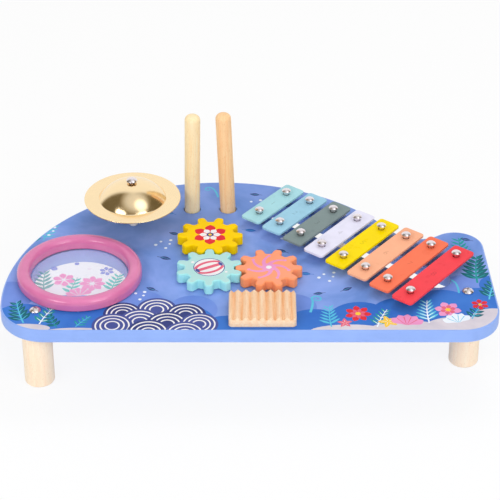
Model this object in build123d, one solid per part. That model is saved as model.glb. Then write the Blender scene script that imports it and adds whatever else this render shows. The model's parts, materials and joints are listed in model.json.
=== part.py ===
from build123d import *
import os
from math import acos, asin, atan2, cos, degrees, hypot, radians, sin, sqrt, tan

# A musical activity table for small children. A shaped board on four short legs carries a drum,
# a cymbal, three meshing gears, a ribbed guiro block, a row of metal keys and two beaters.
# Millimetres. The origin is on the floor under the middle of the board: +X right, +Y back, +Z up.

# Board: a wide curve sweeps over its left and back edges, dips, and ends in a lobe at the right.
BOARD_LENGTH = 443.4
BOARD_DEPTH = 247.7
BOARD_THICKNESS = 13.2
BOARD_EDGE_ROUND = 1.5
BACK_CURVE_SHARE = 0.4376
FRONT_LEFT_RADIUS = 41.7
FRONT_RIGHT_RADIUS = 34.1
LOBE_RADIUS = 25.1
LOBE_INSET = 4.6
LOBE_SETBACK = 89.3
DIP_RADIUS = 29.0

# Legs and the screws that hold them from above.
LEG_HEIGHT = 62.8
LEG_RADIUS = 13.5
LEG_FOOT_ROUND = 2.0
LEG_SCREW_HEAD_RADIUS = 5.1
LEG_SCREW_HEAD_HEIGHT = 3.2
LEG_SCREW_RADIUS = 2.2
LEG_SCREW_GRIP = 28.0
FRONT_LEG_BEARING = 236.3
FRONT_LEG_RING_GAP = 2.7
BACK_LEG_PIN_GAP = 2.8
BACK_LEG_KEY_NUMBER = 3

# Drum: a ring over a clear skin, above a round hole in the board.
DRUM_OUTER_RADIUS = 56.5
DRUM_RING_WIDTH = 12.2
DRUM_HEIGHT = 11.0
DRUM_TOP_ROUND = 5.6
DRUM_FOOT_ROUND = 1.2
DRUM_HOLE_INSET = 1.0
SKIN_THICKNESS = 0.4
SKIN_RIM_INSET = 2.0
DRUM_SCREW_COUNT = 4

# Cymbal: a spun sheet with a dome, loose on a screw between a felt washer and the screw's head.
CYMBAL_RADIUS = 45.0
CYMBAL_SHEET = 0.8
CYMBAL_RIM_HEIGHT = 28.5
DOME_RADIUS = 31.6
DOME_HEIGHT = 16.5
DOME_CREASE = 3.0
CYMBAL_HOLE_GAP = 0.7
CYMBAL_REST_GAP = 0.3
CYMBAL_HEAD_GAP = 1.3
CYMBAL_SCREW_RADIUS = 2.5
CYMBAL_HEAD_RADIUS = 5.1
CYMBAL_HEAD_HEIGHT = 3.4
FELT_RADIUS = 7.0
FELT_THICKNESS = 3.0
FELT_ROCK_GAP = 0.5
SPACER_RADIUS = 4.0
NUT_ACROSS_FLATS = 8.0
NUT_HEIGHT = 4.0

# Gears: three alike, on dowels that turn in the board.
GEAR_TEETH = 10
GEAR_MODULE = 5.4
GEAR_PRESSURE_ANGLE = 25.0
GEAR_ADDENDUM = 3.25
GEAR_DEDENDUM = 4.4
GEAR_BACKLASH = 0.7
GEAR_TIP_ROUND = 1.9
GEAR_ROOT_ROUND = 1.8
GEAR_THICKNESS = 9.0
GEAR_EDGE_ROUND = 1.2
SLIP_WASHER_RADIUS = 9.0
SLIP_WASHER_THICKNESS = 0.8
GEAR_RUNNING_GAP = 0.3
SPINDLE_RADIUS = 6.0
SPINDLE_RUNNING_GAP = 0.1
SPINDLE_SOCKET = 5.5
RETAINER_RADIUS = 10.0
RETAINER_THICKNESS = 1.6
RETAINER_SCREW_GRIP = 12.0

# Guiro: a ribbed block between the gears and the front edge.
GUIRO_WIDTH = 59.6
GUIRO_HEIGHT = 10.0
GUIRO_GROOVES = 8
GUIRO_GROOVE_DEPTH = 2.7
GUIRO_END_LAND = 0.8
GUIRO_CORNER_ROUND = 3.5
GUIRO_GEAR_GAP = 5.1
GUIRO_EDGE_MARGIN = 5.6
GUIRO_SCREW_INSET = 14.0

# Keys: flat bars in a slanting row over a slot, each loose on two domed pins.
KEY_COUNT = 8
KEY_WIDTH = 21.5
KEY_THICKNESS = 2.2
KEY_CORNER_RADIUS = 3.0
KEY_EDGE_ROUND = 0.5
FIRST_KEY_LENGTH = 72.0
LAST_KEY_LENGTH = 104.0
KEY_SKEW = 1.8
KEY_PIN_INSET = 15.0
KEY_HOLE_GAP = 0.6
KEY_REST_GAP = 0.3
KEY_HEADROOM = 3.2
PIN_RADIUS = 2.6
PIN_DEPTH = 9.0
PIN_HEAD_RADIUS = 4.3
PIN_HEAD_HEIGHT = 2.6
CUSHION_RADIUS = 4.8
CUSHION_HEIGHT = 7.8
SLOT_WIDTH = 24.6
SLOT_FIRST_OFFSET = 3.2
SLOT_LAST_OFFSET = 6.5
SLOT_START_INSET = 4.0

# Beaters: plain round sticks that stand loose in blind holes. Leans are to the left and tilts to
# the front, in degrees.
STICK_RADIUS = 7.25
STICK_LENGTH = 113.6
STICK_TOP_ROUND = 5.0
STICK_FOOT_ROUND = 1.0
STICK_SOCKET_GAP = 1.0
STICK_SOCKET_DEPTH = 10.0
STICK_SEAT_GAP = 0.4
STICK_CYMBAL_GAP = 8.3
STICK_BEARING = 25.1
STICK_PITCH = 34.2
LEFT_STICK_LEAN = -1.0
LEFT_STICK_TILT = 1.3
RIGHT_STICK_LEAN = 2.2
RIGHT_STICK_TILT = -0.4

# Fits shared by the small fasteners.
FIT_GAP = 0.05
SMALL_SCREW_RADIUS = 1.75
SMALL_HEAD_RADIUS = 3.5
SMALL_HEAD_HEIGHT = 2.2
SMALL_SCREW_GRIP = 6.5

# Heights above the floor.
BOARD_TOP = LEG_HEIGHT + BOARD_THICKNESS
SKIN_TOP = BOARD_TOP + SKIN_THICKNESS
FLANGE_TOP = BOARD_TOP + CYMBAL_RIM_HEIGHT + CYMBAL_SHEET
CREST = FLANGE_TOP + DOME_HEIGHT
GEAR_BOTTOM = BOARD_TOP + SLIP_WASHER_THICKNESS + GEAR_RUNNING_GAP
RETAINER_TOP = LEG_HEIGHT - GEAR_RUNNING_GAP
KEY_BOTTOM = BOARD_TOP + CUSHION_HEIGHT + KEY_REST_GAP
PIN_HEAD_BASE = KEY_BOTTOM + KEY_THICKNESS + KEY_HEADROOM

# Places of the sub-assemblies on the board.
DRUM_PLACE = Vector(-0.3465 * BOARD_LENGTH, -0.1606 * BOARD_DEPTH)
CYMBAL_PLACE = Vector(-0.2464 * BOARD_LENGTH, 0.1973 * BOARD_DEPTH)
MINT_PLACE = Vector(-0.0818 * BOARD_LENGTH, -0.16 * BOARD_DEPTH)
FIRST_KEY_PLACE = Vector(0.0508 * BOARD_LENGTH, 0.2772 * BOARD_DEPTH)
LAST_KEY_PLACE = Vector(0.374 * BOARD_LENGTH, -0.204 * BOARD_DEPTH)
RIGHT_LEG_PLACE = Vector(0.4425 * BOARD_LENGTH, -0.2577 * BOARD_DEPTH)
BACK_LEG_PLACE = Vector(-0.251 * BOARD_LENGTH, 0.3216 * BOARD_DEPTH)
GUIRO_X = 0.0264 * BOARD_LENGTH


def bearing(angle):
    """The unit vector that points at an angle, in degrees counterclockwise from +X."""
    return Vector(cos(radians(angle)), sin(radians(angle)))


# Drum sizes that follow from the ring.
DRUM_INNER_RADIUS = DRUM_OUTER_RADIUS - DRUM_RING_WIDTH
DRUM_HOLE_RADIUS = DRUM_INNER_RADIUS - DRUM_HOLE_INSET

# Gear sizes that follow from the teeth.
PITCH_RADIUS = GEAR_MODULE * GEAR_TEETH / 2
TIP_RADIUS = PITCH_RADIUS + GEAR_ADDENDUM
ROOT_RADIUS = PITCH_RADIUS - GEAR_DEDENDUM
BASE_RADIUS = PITCH_RADIUS * cos(radians(GEAR_PRESSURE_ANGLE))
TOOTH_STEP = 360 / GEAR_TEETH

# The row of keys: its direction, the direction of each bar, and each bar's place and length.
ROW = (LAST_KEY_PLACE - FIRST_KEY_PLACE).normalized()
ACROSS_ROW = ROW.rotate(Axis.Z, 90)
ALONG_KEY = ROW.rotate(Axis.Z, 90 + KEY_SKEW)
KEY_ANGLE = degrees(atan2(ALONG_KEY.Y, ALONG_KEY.X))


def key_share(number):
    """How far along the row a key lies, from 0 at the first to 1 at the last."""
    return (number - 1) / (KEY_COUNT - 1)


def key_place(number):
    """The middle of a key, seen from above."""
    return FIRST_KEY_PLACE + (LAST_KEY_PLACE - FIRST_KEY_PLACE) * key_share(number)


def key_length(number):
    """The length of a key: the bars grow evenly along the row."""
    return FIRST_KEY_LENGTH + (LAST_KEY_LENGTH - FIRST_KEY_LENGTH) * key_share(number)


def pin_reach(number):
    """The distance from a key's middle to each of its pins."""
    return key_length(number) / 2 - KEY_PIN_INSET


def pin_places():
    """The places of all pins, two to a key."""
    places = []
    for number in range(1, KEY_COUNT + 1):
        for side in (-1, 1):
            places.append(key_place(number) + ALONG_KEY * (side * pin_reach(number)))
    return places


def leg_places():
    """The legs by name. The front left one clears the drum, and one hides behind a key's far pin."""
    ring_reach = DRUM_OUTER_RADIUS + FRONT_LEG_RING_GAP + LEG_SCREW_HEAD_RADIUS
    pin_clear = CUSHION_RADIUS + BACK_LEG_PIN_GAP + LEG_SCREW_HEAD_RADIUS
    behind_pin = key_place(BACK_LEG_KEY_NUMBER) + ALONG_KEY * (pin_reach(BACK_LEG_KEY_NUMBER) + pin_clear)
    return {
        "front_left": DRUM_PLACE + bearing(FRONT_LEG_BEARING) * ring_reach,
        "front_right": RIGHT_LEG_PLACE,
        "back_left": BACK_LEG_PLACE,
        "back_right": behind_pin,
    }


def gear_places():
    """The middle of each gear: the yellow one behind the mint one, the orange one to its right."""
    return {
        "yellow": MINT_PLACE + Vector(0, 2 * PITCH_RADIUS),
        "mint": MINT_PLACE,
        "orange": MINT_PLACE + Vector(2 * PITCH_RADIUS, 0),
    }


def meshed_turn(turn, direction):
    """The turn of a gear that meshes with a gear at a given turn, in a direction from it."""
    return 2 * direction + 180 - turn + TOOTH_STEP / 2


def gear_turns():
    """The angle of one tooth of each gear, so that the teeth mesh."""
    mint_turn = 90
    return {"mint": mint_turn, "yellow": meshed_turn(mint_turn, 90), "orange": meshed_turn(mint_turn, 0)}


def drum_screw_places():
    """The screws under the drum ring, midway in its width and clear of the front left leg."""
    middle = (DRUM_OUTER_RADIUS + DRUM_INNER_RADIUS) / 2
    step = 360 / DRUM_SCREW_COUNT
    return [DRUM_PLACE + bearing(FRONT_LEG_BEARING + step * (i + 0.5)) * middle for i in range(DRUM_SCREW_COUNT)]


def guiro_edges():
    """The front and back edges of the guiro block."""
    front = -BOARD_DEPTH / 2 + GUIRO_EDGE_MARGIN
    back = MINT_PLACE.Y - TIP_RADIUS - GUIRO_GEAR_GAP
    return front, back


def guiro_screw_places():
    """The two screws under the guiro block."""
    middle = sum(guiro_edges()) / 2
    reach = GUIRO_WIDTH / 2 - GUIRO_SCREW_INSET
    return [Vector(GUIRO_X - reach, middle), Vector(GUIRO_X + reach, middle)]


def stick_places():
    """The middle of each socket: the left one clears the cymbal, the right one a pitch further on."""
    left = CYMBAL_PLACE + bearing(STICK_BEARING) * (CYMBAL_RADIUS + STICK_CYMBAL_GAP + STICK_RADIUS)
    return {"left": left, "right": left + Vector(STICK_PITCH, 0)}


def at(place, z=0.0):
    """A location at a place seen from above and a height."""
    return Pos(place.X, place.Y, z)


def rod(radius, height):
    """A cylinder that stands on the XY plane."""
    return Cylinder(radius, height, align=(Align.CENTER, Align.CENTER, Align.MIN))


def hole(place, radius, low, high):
    """A cylinder between two heights, to be cut out."""
    return at(place, low) * rod(radius, high - low)


def tube(outer, inner, height):
    """A washer or tube that stands on the XY plane."""
    return rod(outer, height) - rod(inner, height)


def dome_arc(radius, low, high):
    """The arc, in the XZ plane, from a rim at one height up to the axis at another."""
    rise = high - low
    sphere = (radius ** 2 + rise ** 2) / (2 * rise)
    half = asin(radius / sphere) / 2
    middle = (sphere * sin(half), 0, high - sphere * (1 - cos(half)))
    return ThreePointArc((radius, 0, low), middle, (0, 0, high))


def turned(edges):
    """A solid of revolution about Z from the edges of its half section in the XZ plane."""
    return revolve(make_face(edges), Axis.Z)


def domed_screw(head_radius, head_height, shank_radius, shank_length):
    """A screw that points down, with the underside of its domed head at the origin."""
    rim = head_height / 4
    sides = Polyline(
        (0, 0, head_height),
        (0, 0, -shank_length),
        (shank_radius, 0, -shank_length),
        (shank_radius, 0, 0),
        (head_radius, 0, 0),
        (head_radius, 0, rim),
    )
    return turned(sides + dome_arc(head_radius, rim, head_height))


def countersunk_screw(gap, length):
    """A screw that points up, with its flat head at the origin, widened all round by a gap."""
    head = SMALL_HEAD_RADIUS + gap
    shank = SMALL_SCREW_RADIUS + gap
    return turned(Polyline((0, 0, 0), (head, 0, 0), (shank, 0, head - shank), (shank, 0, length), (0, 0, length), close=True))


def two_circle_point(a, reach_a, b, reach_b):
    """The point at given distances from a and from b, to the left of the way from a to b."""
    span = (b - a).length
    ahead = (reach_a ** 2 - reach_b ** 2 + span ** 2) / (2 * span)
    aside = sqrt(reach_a ** 2 - ahead ** 2)
    way = (b - a).normalized()
    return a + way * ahead + way.rotate(Axis.Z, 90) * aside


def board_rollers():
    """The circles that the board's outline runs round, as (centre, radius), counterclockwise."""
    half_length = BOARD_LENGTH / 2
    half_depth = BOARD_DEPTH / 2
    back_radius = BACK_CURVE_SHARE * BOARD_LENGTH
    sweep = Vector(back_radius - half_length, half_depth - back_radius)
    corner_y = FRONT_LEFT_RADIUS - half_depth
    corner_reach = back_radius - FRONT_LEFT_RADIUS
    corner_x = sweep.X - sqrt(corner_reach ** 2 - (corner_y - sweep.Y) ** 2)
    lobe = Vector(half_length - LOBE_INSET - LOBE_RADIUS, half_depth - LOBE_SETBACK - LOBE_RADIUS)
    dip = two_circle_point(sweep, back_radius + DIP_RADIUS, lobe, LOBE_RADIUS + DIP_RADIUS)
    return [
        (Vector(corner_x, corner_y), FRONT_LEFT_RADIUS),
        (Vector(half_length - FRONT_RIGHT_RADIUS, FRONT_RIGHT_RADIUS - half_depth), FRONT_RIGHT_RADIUS),
        (lobe, LOBE_RADIUS),
        (dip, -DIP_RADIUS),
        (sweep, back_radius),
    ]


def belt_face(rollers):
    """A face bounded by arcs round the rollers and straight runs between them.

    A negative radius bends the edge inwards, and rollers that touch need no straight run.
    """
    leaves = []
    meets = []
    for (a, radius_a), (b, radius_b) in zip(rollers, rollers[1:] + rollers[:1]):
        span = b - a
        lean = degrees(acos(max(-1.0, min(1.0, (radius_a - radius_b) / span.length))))
        outward = span.normalized().rotate(Axis.Z, -lean)
        leaves.append(a + outward * radius_a)
        meets.append(b + outward * radius_b)
        if (meets[-1] - leaves[-1]).length < 0.01:
            meets[-1] = leaves[-1]
    edges = []
    for i, (centre, radius) in enumerate(rollers):
        start = meets[i - 1]
        end = leaves[i]
        crown = centre + (start + end - centre * 2).normalized() * abs(radius)
        edges.append(ThreePointArc(start, crown, end))
        if (meets[i] - end).length > 0.01:
            edges.append(Line(end, meets[i]))
    return make_face(edges)


def key_slot():
    """The slot through the board under the keys, a little askew to their row."""
    start = FIRST_KEY_PLACE + ACROSS_ROW * SLOT_FIRST_OFFSET + ROW * SLOT_START_INSET
    end = LAST_KEY_PLACE + ACROSS_ROW * SLOT_LAST_OFFSET
    span = end - start
    slant = degrees(atan2(span.Y, span.X))
    outline = SlotCenterToCenter(span.length, SLOT_WIDTH, rotation=slant)
    return at((start + end) * 0.5, LEG_HEIGHT) * extrude(outline, BOARD_THICKNESS)


def table_board():
    """The board with its rounded edge and every hole and socket in it."""
    board = Pos(0, 0, LEG_HEIGHT) * extrude(belt_face(board_rollers()), BOARD_THICKNESS)
    flats = board.faces().filter_by(Axis.Z)
    board = fillet(flats.edges(), BOARD_EDGE_ROUND)
    cuts = [key_slot(), hole(DRUM_PLACE, DRUM_HOLE_RADIUS, LEG_HEIGHT, BOARD_TOP)]
    cuts.append(hole(CYMBAL_PLACE, CYMBAL_SCREW_RADIUS + FIT_GAP, LEG_HEIGHT, BOARD_TOP))
    for place in leg_places().values():
        cuts.append(hole(place, LEG_SCREW_RADIUS + FIT_GAP, LEG_HEIGHT, BOARD_TOP))
    for place in gear_places().values():
        cuts.append(hole(place, SPINDLE_RADIUS + SPINDLE_RUNNING_GAP, LEG_HEIGHT, BOARD_TOP))
    for place in stick_places().values():
        cuts.append(hole(place, STICK_RADIUS + STICK_SOCKET_GAP, BOARD_TOP - STICK_SOCKET_DEPTH, BOARD_TOP))
    for place in pin_places():
        cuts.append(hole(place, PIN_RADIUS + FIT_GAP, BOARD_TOP - PIN_DEPTH - FIT_GAP, BOARD_TOP))
    for place in drum_screw_places() + guiro_screw_places():
        cuts.append(at(place, LEG_HEIGHT) * countersunk_screw(FIT_GAP, BOARD_THICKNESS))
    return board - cuts


def leg(place):
    """A round leg with a pilot hole for its screw."""
    post = fillet(rod(LEG_RADIUS, LEG_HEIGHT).edges().group_by(Axis.Z)[0], LEG_FOOT_ROUND)
    pilot_depth = LEG_SCREW_GRIP + FIT_GAP
    return at(place) * (post - hole(Vector(), LEG_SCREW_RADIUS + FIT_GAP, LEG_HEIGHT - pilot_depth, LEG_HEIGHT))


def leg_screws():
    """The screws that come down through the board into the legs."""
    screw = domed_screw(
        LEG_SCREW_HEAD_RADIUS,
        LEG_SCREW_HEAD_HEIGHT,
        LEG_SCREW_RADIUS,
        BOARD_THICKNESS + LEG_SCREW_GRIP,
    )
    return [at(place, BOARD_TOP) * screw for place in leg_places().values()]


def drum_ring():
    """The ring, rounded over on top, with pilot holes for the screws from below."""
    top_round = min(DRUM_TOP_ROUND, 0.45 * DRUM_RING_WIDTH)
    section = Rectangle(DRUM_RING_WIDTH, DRUM_HEIGHT, align=Align.MIN)
    section = fillet(section.vertices().group_by(Axis.Y)[-1], top_round)
    section = fillet(section.vertices().group_by(Axis.Y)[0], DRUM_FOOT_ROUND)
    ring = revolve(Plane.XZ * Pos(DRUM_INNER_RADIUS, 0) * section, Axis.Z)
    pilot_top = SKIN_TOP + SMALL_SCREW_GRIP + FIT_GAP
    pilots = [hole(place, SMALL_SCREW_RADIUS + FIT_GAP, SKIN_TOP, pilot_top) for place in drum_screw_places()]
    return at(DRUM_PLACE, SKIN_TOP) * ring - pilots


def drum_skin():
    """The clear film between the board and the ring."""
    film = hole(DRUM_PLACE, DRUM_OUTER_RADIUS - SKIN_RIM_INSET, BOARD_TOP, SKIN_TOP)
    return film - [hole(place, SMALL_SCREW_RADIUS + FIT_GAP, BOARD_TOP, SKIN_TOP) for place in drum_screw_places()]


def drum_ring_screws():
    """The screws from under the board, through the skin, into the ring."""
    screw = countersunk_screw(0, BOARD_THICKNESS + SKIN_THICKNESS + SMALL_SCREW_GRIP)
    return [at(place, LEG_HEIGHT) * screw for place in drum_screw_places()]


def cymbal_plate():
    """The sheet: a dome with a hole for the screw, a soft crease and a flat flange."""
    sphere = (DOME_RADIUS ** 2 + DOME_HEIGHT ** 2) / (2 * DOME_HEIGHT)
    ball = Pos(0, 0, DOME_HEIGHT - sphere)
    above = Pos(0, 0, -CYMBAL_SHEET) * rod(2 * CYMBAL_RADIUS, 2 * CYMBAL_RADIUS)
    blank = rod(CYMBAL_RADIUS, CYMBAL_SHEET).moved(Pos(0, 0, -CYMBAL_SHEET)) + (ball * Sphere(sphere)) & above
    crease = blank.edges().filter_by(GeomType.CIRCLE).filter_by(lambda e: abs(e.radius - DOME_RADIUS) < FIT_GAP)
    plate = fillet(crease, DOME_CREASE) - ball * Sphere(sphere - CYMBAL_SHEET)
    return at(CYMBAL_PLACE, FLANGE_TOP) * (plate - rod(CYMBAL_SCREW_RADIUS + CYMBAL_HOLE_GAP, DOME_HEIGHT))


def felt_top():
    """The top of the felt washer, just under the inside of the dome at the washer's rim."""
    inside = (DOME_RADIUS ** 2 + DOME_HEIGHT ** 2) / (2 * DOME_HEIGHT) - CYMBAL_SHEET
    fall = inside - sqrt(inside ** 2 - FELT_RADIUS ** 2)
    return CREST - CYMBAL_SHEET - fall - CYMBAL_REST_GAP


def cymbal_felt():
    """The felt washer that the cymbal rocks on."""
    bore = CYMBAL_SCREW_RADIUS + FELT_ROCK_GAP
    return at(CYMBAL_PLACE, felt_top() - FELT_THICKNESS) * tube(FELT_RADIUS, bore, FELT_THICKNESS)


def cymbal_spacer():
    """The tube that holds the cymbal above the board."""
    height = felt_top() - FELT_THICKNESS - FELT_ROCK_GAP - BOARD_TOP
    return at(CYMBAL_PLACE, BOARD_TOP) * tube(SPACER_RADIUS, CYMBAL_SCREW_RADIUS + FIT_GAP, height)


def cymbal_screw():
    """The long screw through the cymbal, the spacer and the board."""
    head_base = CREST + CYMBAL_HEAD_GAP
    length = head_base - LEG_HEIGHT + NUT_HEIGHT
    screw = domed_screw(CYMBAL_HEAD_RADIUS, CYMBAL_HEAD_HEIGHT, CYMBAL_SCREW_RADIUS, length)
    return at(CYMBAL_PLACE, head_base) * screw


def cymbal_nut():
    """The hexagon nut under the board."""
    hexagon = RegularPolygon(NUT_ACROSS_FLATS / 2, 6, major_radius=False)
    nut = extrude(hexagon, NUT_HEIGHT) - rod(CYMBAL_SCREW_RADIUS + FIT_GAP, NUT_HEIGHT)
    return at(CYMBAL_PLACE, LEG_HEIGHT - NUT_HEIGHT) * nut


def half_tooth(radius):
    """Half the angle of a tooth at a radius, from the involute of the base circle."""
    pressure = radians(GEAR_PRESSURE_ANGLE)
    lean = acos(min(1.0, BASE_RADIUS / radius))
    at_pitch = 90 / GEAR_TEETH - degrees(GEAR_BACKLASH / 4 / PITCH_RADIUS)
    return at_pitch + degrees(tan(pressure) - pressure - tan(lean) + lean)


def flank_point(radius, middle, side):
    """The point of a tooth's flank at a radius, for a tooth whose middle is at an angle."""
    return bearing(middle + side * half_tooth(max(radius, BASE_RADIUS))) * radius


def gear_face():
    """The outline of a gear, with a tooth on +X."""
    radii = (ROOT_RADIUS, (BASE_RADIUS + TIP_RADIUS) / 2, TIP_RADIUS)
    edges = []
    for i in range(GEAR_TEETH):
        middle = i * TOOTH_STEP
        rising = [flank_point(radius, middle, -1) for radius in radii]
        falling = [flank_point(radius, middle, 1) for radius in reversed(radii)]
        next_root = flank_point(ROOT_RADIUS, middle + TOOTH_STEP, -1)
        edges.append(ThreePointArc(*rising))
        edges.append(ThreePointArc(rising[2], bearing(middle) * TIP_RADIUS, falling[0]))
        edges.append(ThreePointArc(*falling))
        edges.append(ThreePointArc(falling[2], bearing(middle + TOOTH_STEP / 2) * ROOT_RADIUS, next_root))
    return make_face(edges)


def corners_at(face, radius):
    """The corners of a face that lie at a distance from the origin."""
    return face.vertices().filter_by(lambda v: abs(hypot(v.X, v.Y) - radius) < FIT_GAP)


def gear_blank():
    """A gear with rounded teeth and edges and a socket below for its spindle."""
    face = gear_face()
    face = fillet(corners_at(face, TIP_RADIUS), GEAR_TIP_ROUND)
    face = fillet(corners_at(face, ROOT_RADIUS), GEAR_ROOT_ROUND)
    blank = extrude(face, GEAR_THICKNESS)
    blank = fillet(blank.edges().group_by(Axis.Z)[-1], GEAR_EDGE_ROUND)
    return blank - rod(SPINDLE_RADIUS + FIT_GAP, SPINDLE_SOCKET + FIT_GAP)


def gear_spindle(place):
    """The dowel glued into a gear, down through the board to its retainer."""
    pilot_radius = SMALL_SCREW_RADIUS + FIT_GAP
    dowel = hole(place, SPINDLE_RADIUS, RETAINER_TOP, GEAR_BOTTOM + SPINDLE_SOCKET)
    return dowel - hole(place, pilot_radius, RETAINER_TOP, RETAINER_TOP + RETAINER_SCREW_GRIP + FIT_GAP)


def gear_retainer(place):
    """The washer under the board that keeps a gear in."""
    washer = tube(RETAINER_RADIUS, SMALL_SCREW_RADIUS + FIT_GAP, RETAINER_THICKNESS)
    return at(place, RETAINER_TOP - RETAINER_THICKNESS) * washer


def gear_screw(place):
    """The screw up through the washer into the spindle."""
    length = RETAINER_THICKNESS + RETAINER_SCREW_GRIP
    screw = domed_screw(SMALL_HEAD_RADIUS, SMALL_HEAD_HEIGHT, SMALL_SCREW_RADIUS, length)
    return at(place, RETAINER_TOP - RETAINER_THICKNESS) * Rot(180, 0, 0) * screw


def gear_slip_washers():
    """The thin washers between the gears and the board."""
    washer = tube(SLIP_WASHER_RADIUS, SPINDLE_RADIUS + SPINDLE_RUNNING_GAP, SLIP_WASHER_THICKNESS)
    return [at(place, BOARD_TOP) * washer for place in gear_places().values()]


def guiro_block():
    """The ribbed block: V grooves from front to back between rounded ends."""
    front, back = guiro_edges()
    step = (GUIRO_WIDTH - 2 * GUIRO_END_LAND) / GUIRO_GROOVES
    crest_z = GUIRO_HEIGHT
    points = [(-GUIRO_WIDTH / 2, 0), (-GUIRO_WIDTH / 2, crest_z)]
    for i in range(GUIRO_GROOVES):
        left = -GUIRO_WIDTH / 2 + GUIRO_END_LAND + i * step
        points.append((left, crest_z))
        points.append((left + step / 2, crest_z - GUIRO_GROOVE_DEPTH))
    points.append((GUIRO_WIDTH / 2 - GUIRO_END_LAND, crest_z))
    points.append((GUIRO_WIDTH / 2, crest_z))
    points.append((GUIRO_WIDTH / 2, 0))
    section = Plane.XZ * make_face(Polyline(*points, close=True))
    block = extrude(section, back - front, dir=(0, 1, 0))
    outline = RectangleRounded(GUIRO_WIDTH, back - front, GUIRO_CORNER_ROUND)
    block = Pos(GUIRO_X, front, BOARD_TOP) * block
    block = block & Pos(GUIRO_X, (front + back) / 2, BOARD_TOP) * extrude(outline, GUIRO_HEIGHT)
    pilot_top = BOARD_TOP + SMALL_SCREW_GRIP + FIT_GAP
    return block - [hole(p, SMALL_SCREW_RADIUS + FIT_GAP, BOARD_TOP, pilot_top) for p in guiro_screw_places()]


def guiro_screws():
    """The screws from under the board into the guiro block."""
    screw = countersunk_screw(0, BOARD_THICKNESS + SMALL_SCREW_GRIP)
    return [at(place, LEG_HEIGHT) * screw for place in guiro_screw_places()]


def key(number):
    """A flat bar with rounded corners and two holes for its pins."""
    outline = RectangleRounded(key_length(number), KEY_WIDTH, KEY_CORNER_RADIUS)
    bar = extrude(outline, KEY_THICKNESS)
    bar = fillet(bar.edges().group_by(Axis.Z)[-1], KEY_EDGE_ROUND)
    for side in (-1, 1):
        bar -= hole(Vector(side * pin_reach(number), 0), PIN_RADIUS + KEY_HOLE_GAP, 0, KEY_THICKNESS)
    return at(key_place(number), KEY_BOTTOM) * Rot(0, 0, KEY_ANGLE) * bar


def key_pins():
    """The domed pins pressed into the board."""
    pin = domed_screw(PIN_HEAD_RADIUS, PIN_HEAD_HEIGHT, PIN_RADIUS, PIN_HEAD_BASE - BOARD_TOP + PIN_DEPTH)
    return [at(place, PIN_HEAD_BASE) * pin for place in pin_places()]


def key_cushions():
    """The felt washers round the pins that carry the keys."""
    cushion = tube(CUSHION_RADIUS, PIN_RADIUS + FIT_GAP, CUSHION_HEIGHT)
    return [at(place, BOARD_TOP) * cushion for place in pin_places()]


def stick(place, lean, tilt):
    """A beater that leans to the left and tilts to the front in its loose socket."""
    beater = rod(STICK_RADIUS, STICK_LENGTH)
    beater = fillet(beater.edges().group_by(Axis.Z)[-1], STICK_TOP_ROUND)
    beater = fillet(beater.edges().group_by(Axis.Z)[0], STICK_FOOT_ROUND)
    half_depth = STICK_SOCKET_DEPTH / 2
    stand = at(place, BOARD_TOP - half_depth) * Rot(tilt, -lean, 0)
    return stand * Pos(0, 0, STICK_SEAT_GAP - half_depth) * beater


def nodes():
    """Every node by name, as a list of its solids."""
    parts = {
        "table_board": table_board(),
        "leg_screws": leg_screws(),
        "drum_ring": drum_ring(),
        "drum_skin": drum_skin(),
        "drum_ring_screws": drum_ring_screws(),
        "cymbal_plate": cymbal_plate(),
        "cymbal_felt": cymbal_felt(),
        "cymbal_spacer": cymbal_spacer(),
        "cymbal_screw": cymbal_screw(),
        "cymbal_nut": cymbal_nut(),
        "gear_slip_washers": gear_slip_washers(),
        "guiro_block": guiro_block(),
        "guiro_screws": guiro_screws(),
        "key_pins": key_pins(),
        "key_cushions": key_cushions(),
        "stick_left": stick(stick_places()["left"], LEFT_STICK_LEAN, LEFT_STICK_TILT),
        "stick_right": stick(stick_places()["right"], RIGHT_STICK_LEAN, RIGHT_STICK_TILT),
    }
    for name, place in leg_places().items():
        parts["leg_" + name] = leg(place)
    turns = gear_turns()
    blank = gear_blank()
    for name, place in gear_places().items():
        parts["gear_" + name] = at(place, GEAR_BOTTOM) * Rot(0, 0, turns[name]) * blank
        parts["gear_" + name + "_spindle"] = gear_spindle(place)
        parts["gear_" + name + "_washer"] = gear_retainer(place)
        parts["gear_" + name + "_screw"] = gear_screw(place)
    for number in range(1, KEY_COUNT + 1):
        parts["key_" + str(number)] = key(number)
    return parts


os.makedirs("parts", exist_ok=True)
for node, shape in nodes().items():
    solids = shape if isinstance(shape, list) else [shape]
    flat = [solid for item in solids for solid in item.solids()]
    export_step(flat[0] if len(flat) == 1 else Compound(children=flat), "parts/" + node + ".step")
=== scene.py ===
"""A musical activity table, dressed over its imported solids.

A shaped board on four legs carries a drum, a cymbal, three meshing gears, a ribbed guiro, a row
of eight metal keys and two loose beaters. The frame gives every place and size. This script adds
the finishes, the turned and printed surfaces and a plain studio. Sizes are in millimetres where
nothing else is said, and become metres where a mesh is made.
"""
import json
import logging
from abc import ABC, abstractmethod
from collections import Counter
from collections.abc import Iterable, Sequence
from dataclasses import dataclass
from enum import Enum
from functools import cache
from math import acos, atan2, cos, degrees, hypot, pi, radians, sin, sqrt, tau

import bmesh
import bpy
from mathutils import Matrix, Vector
from mathutils.geometry import delaunay_2d_cdt


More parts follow.
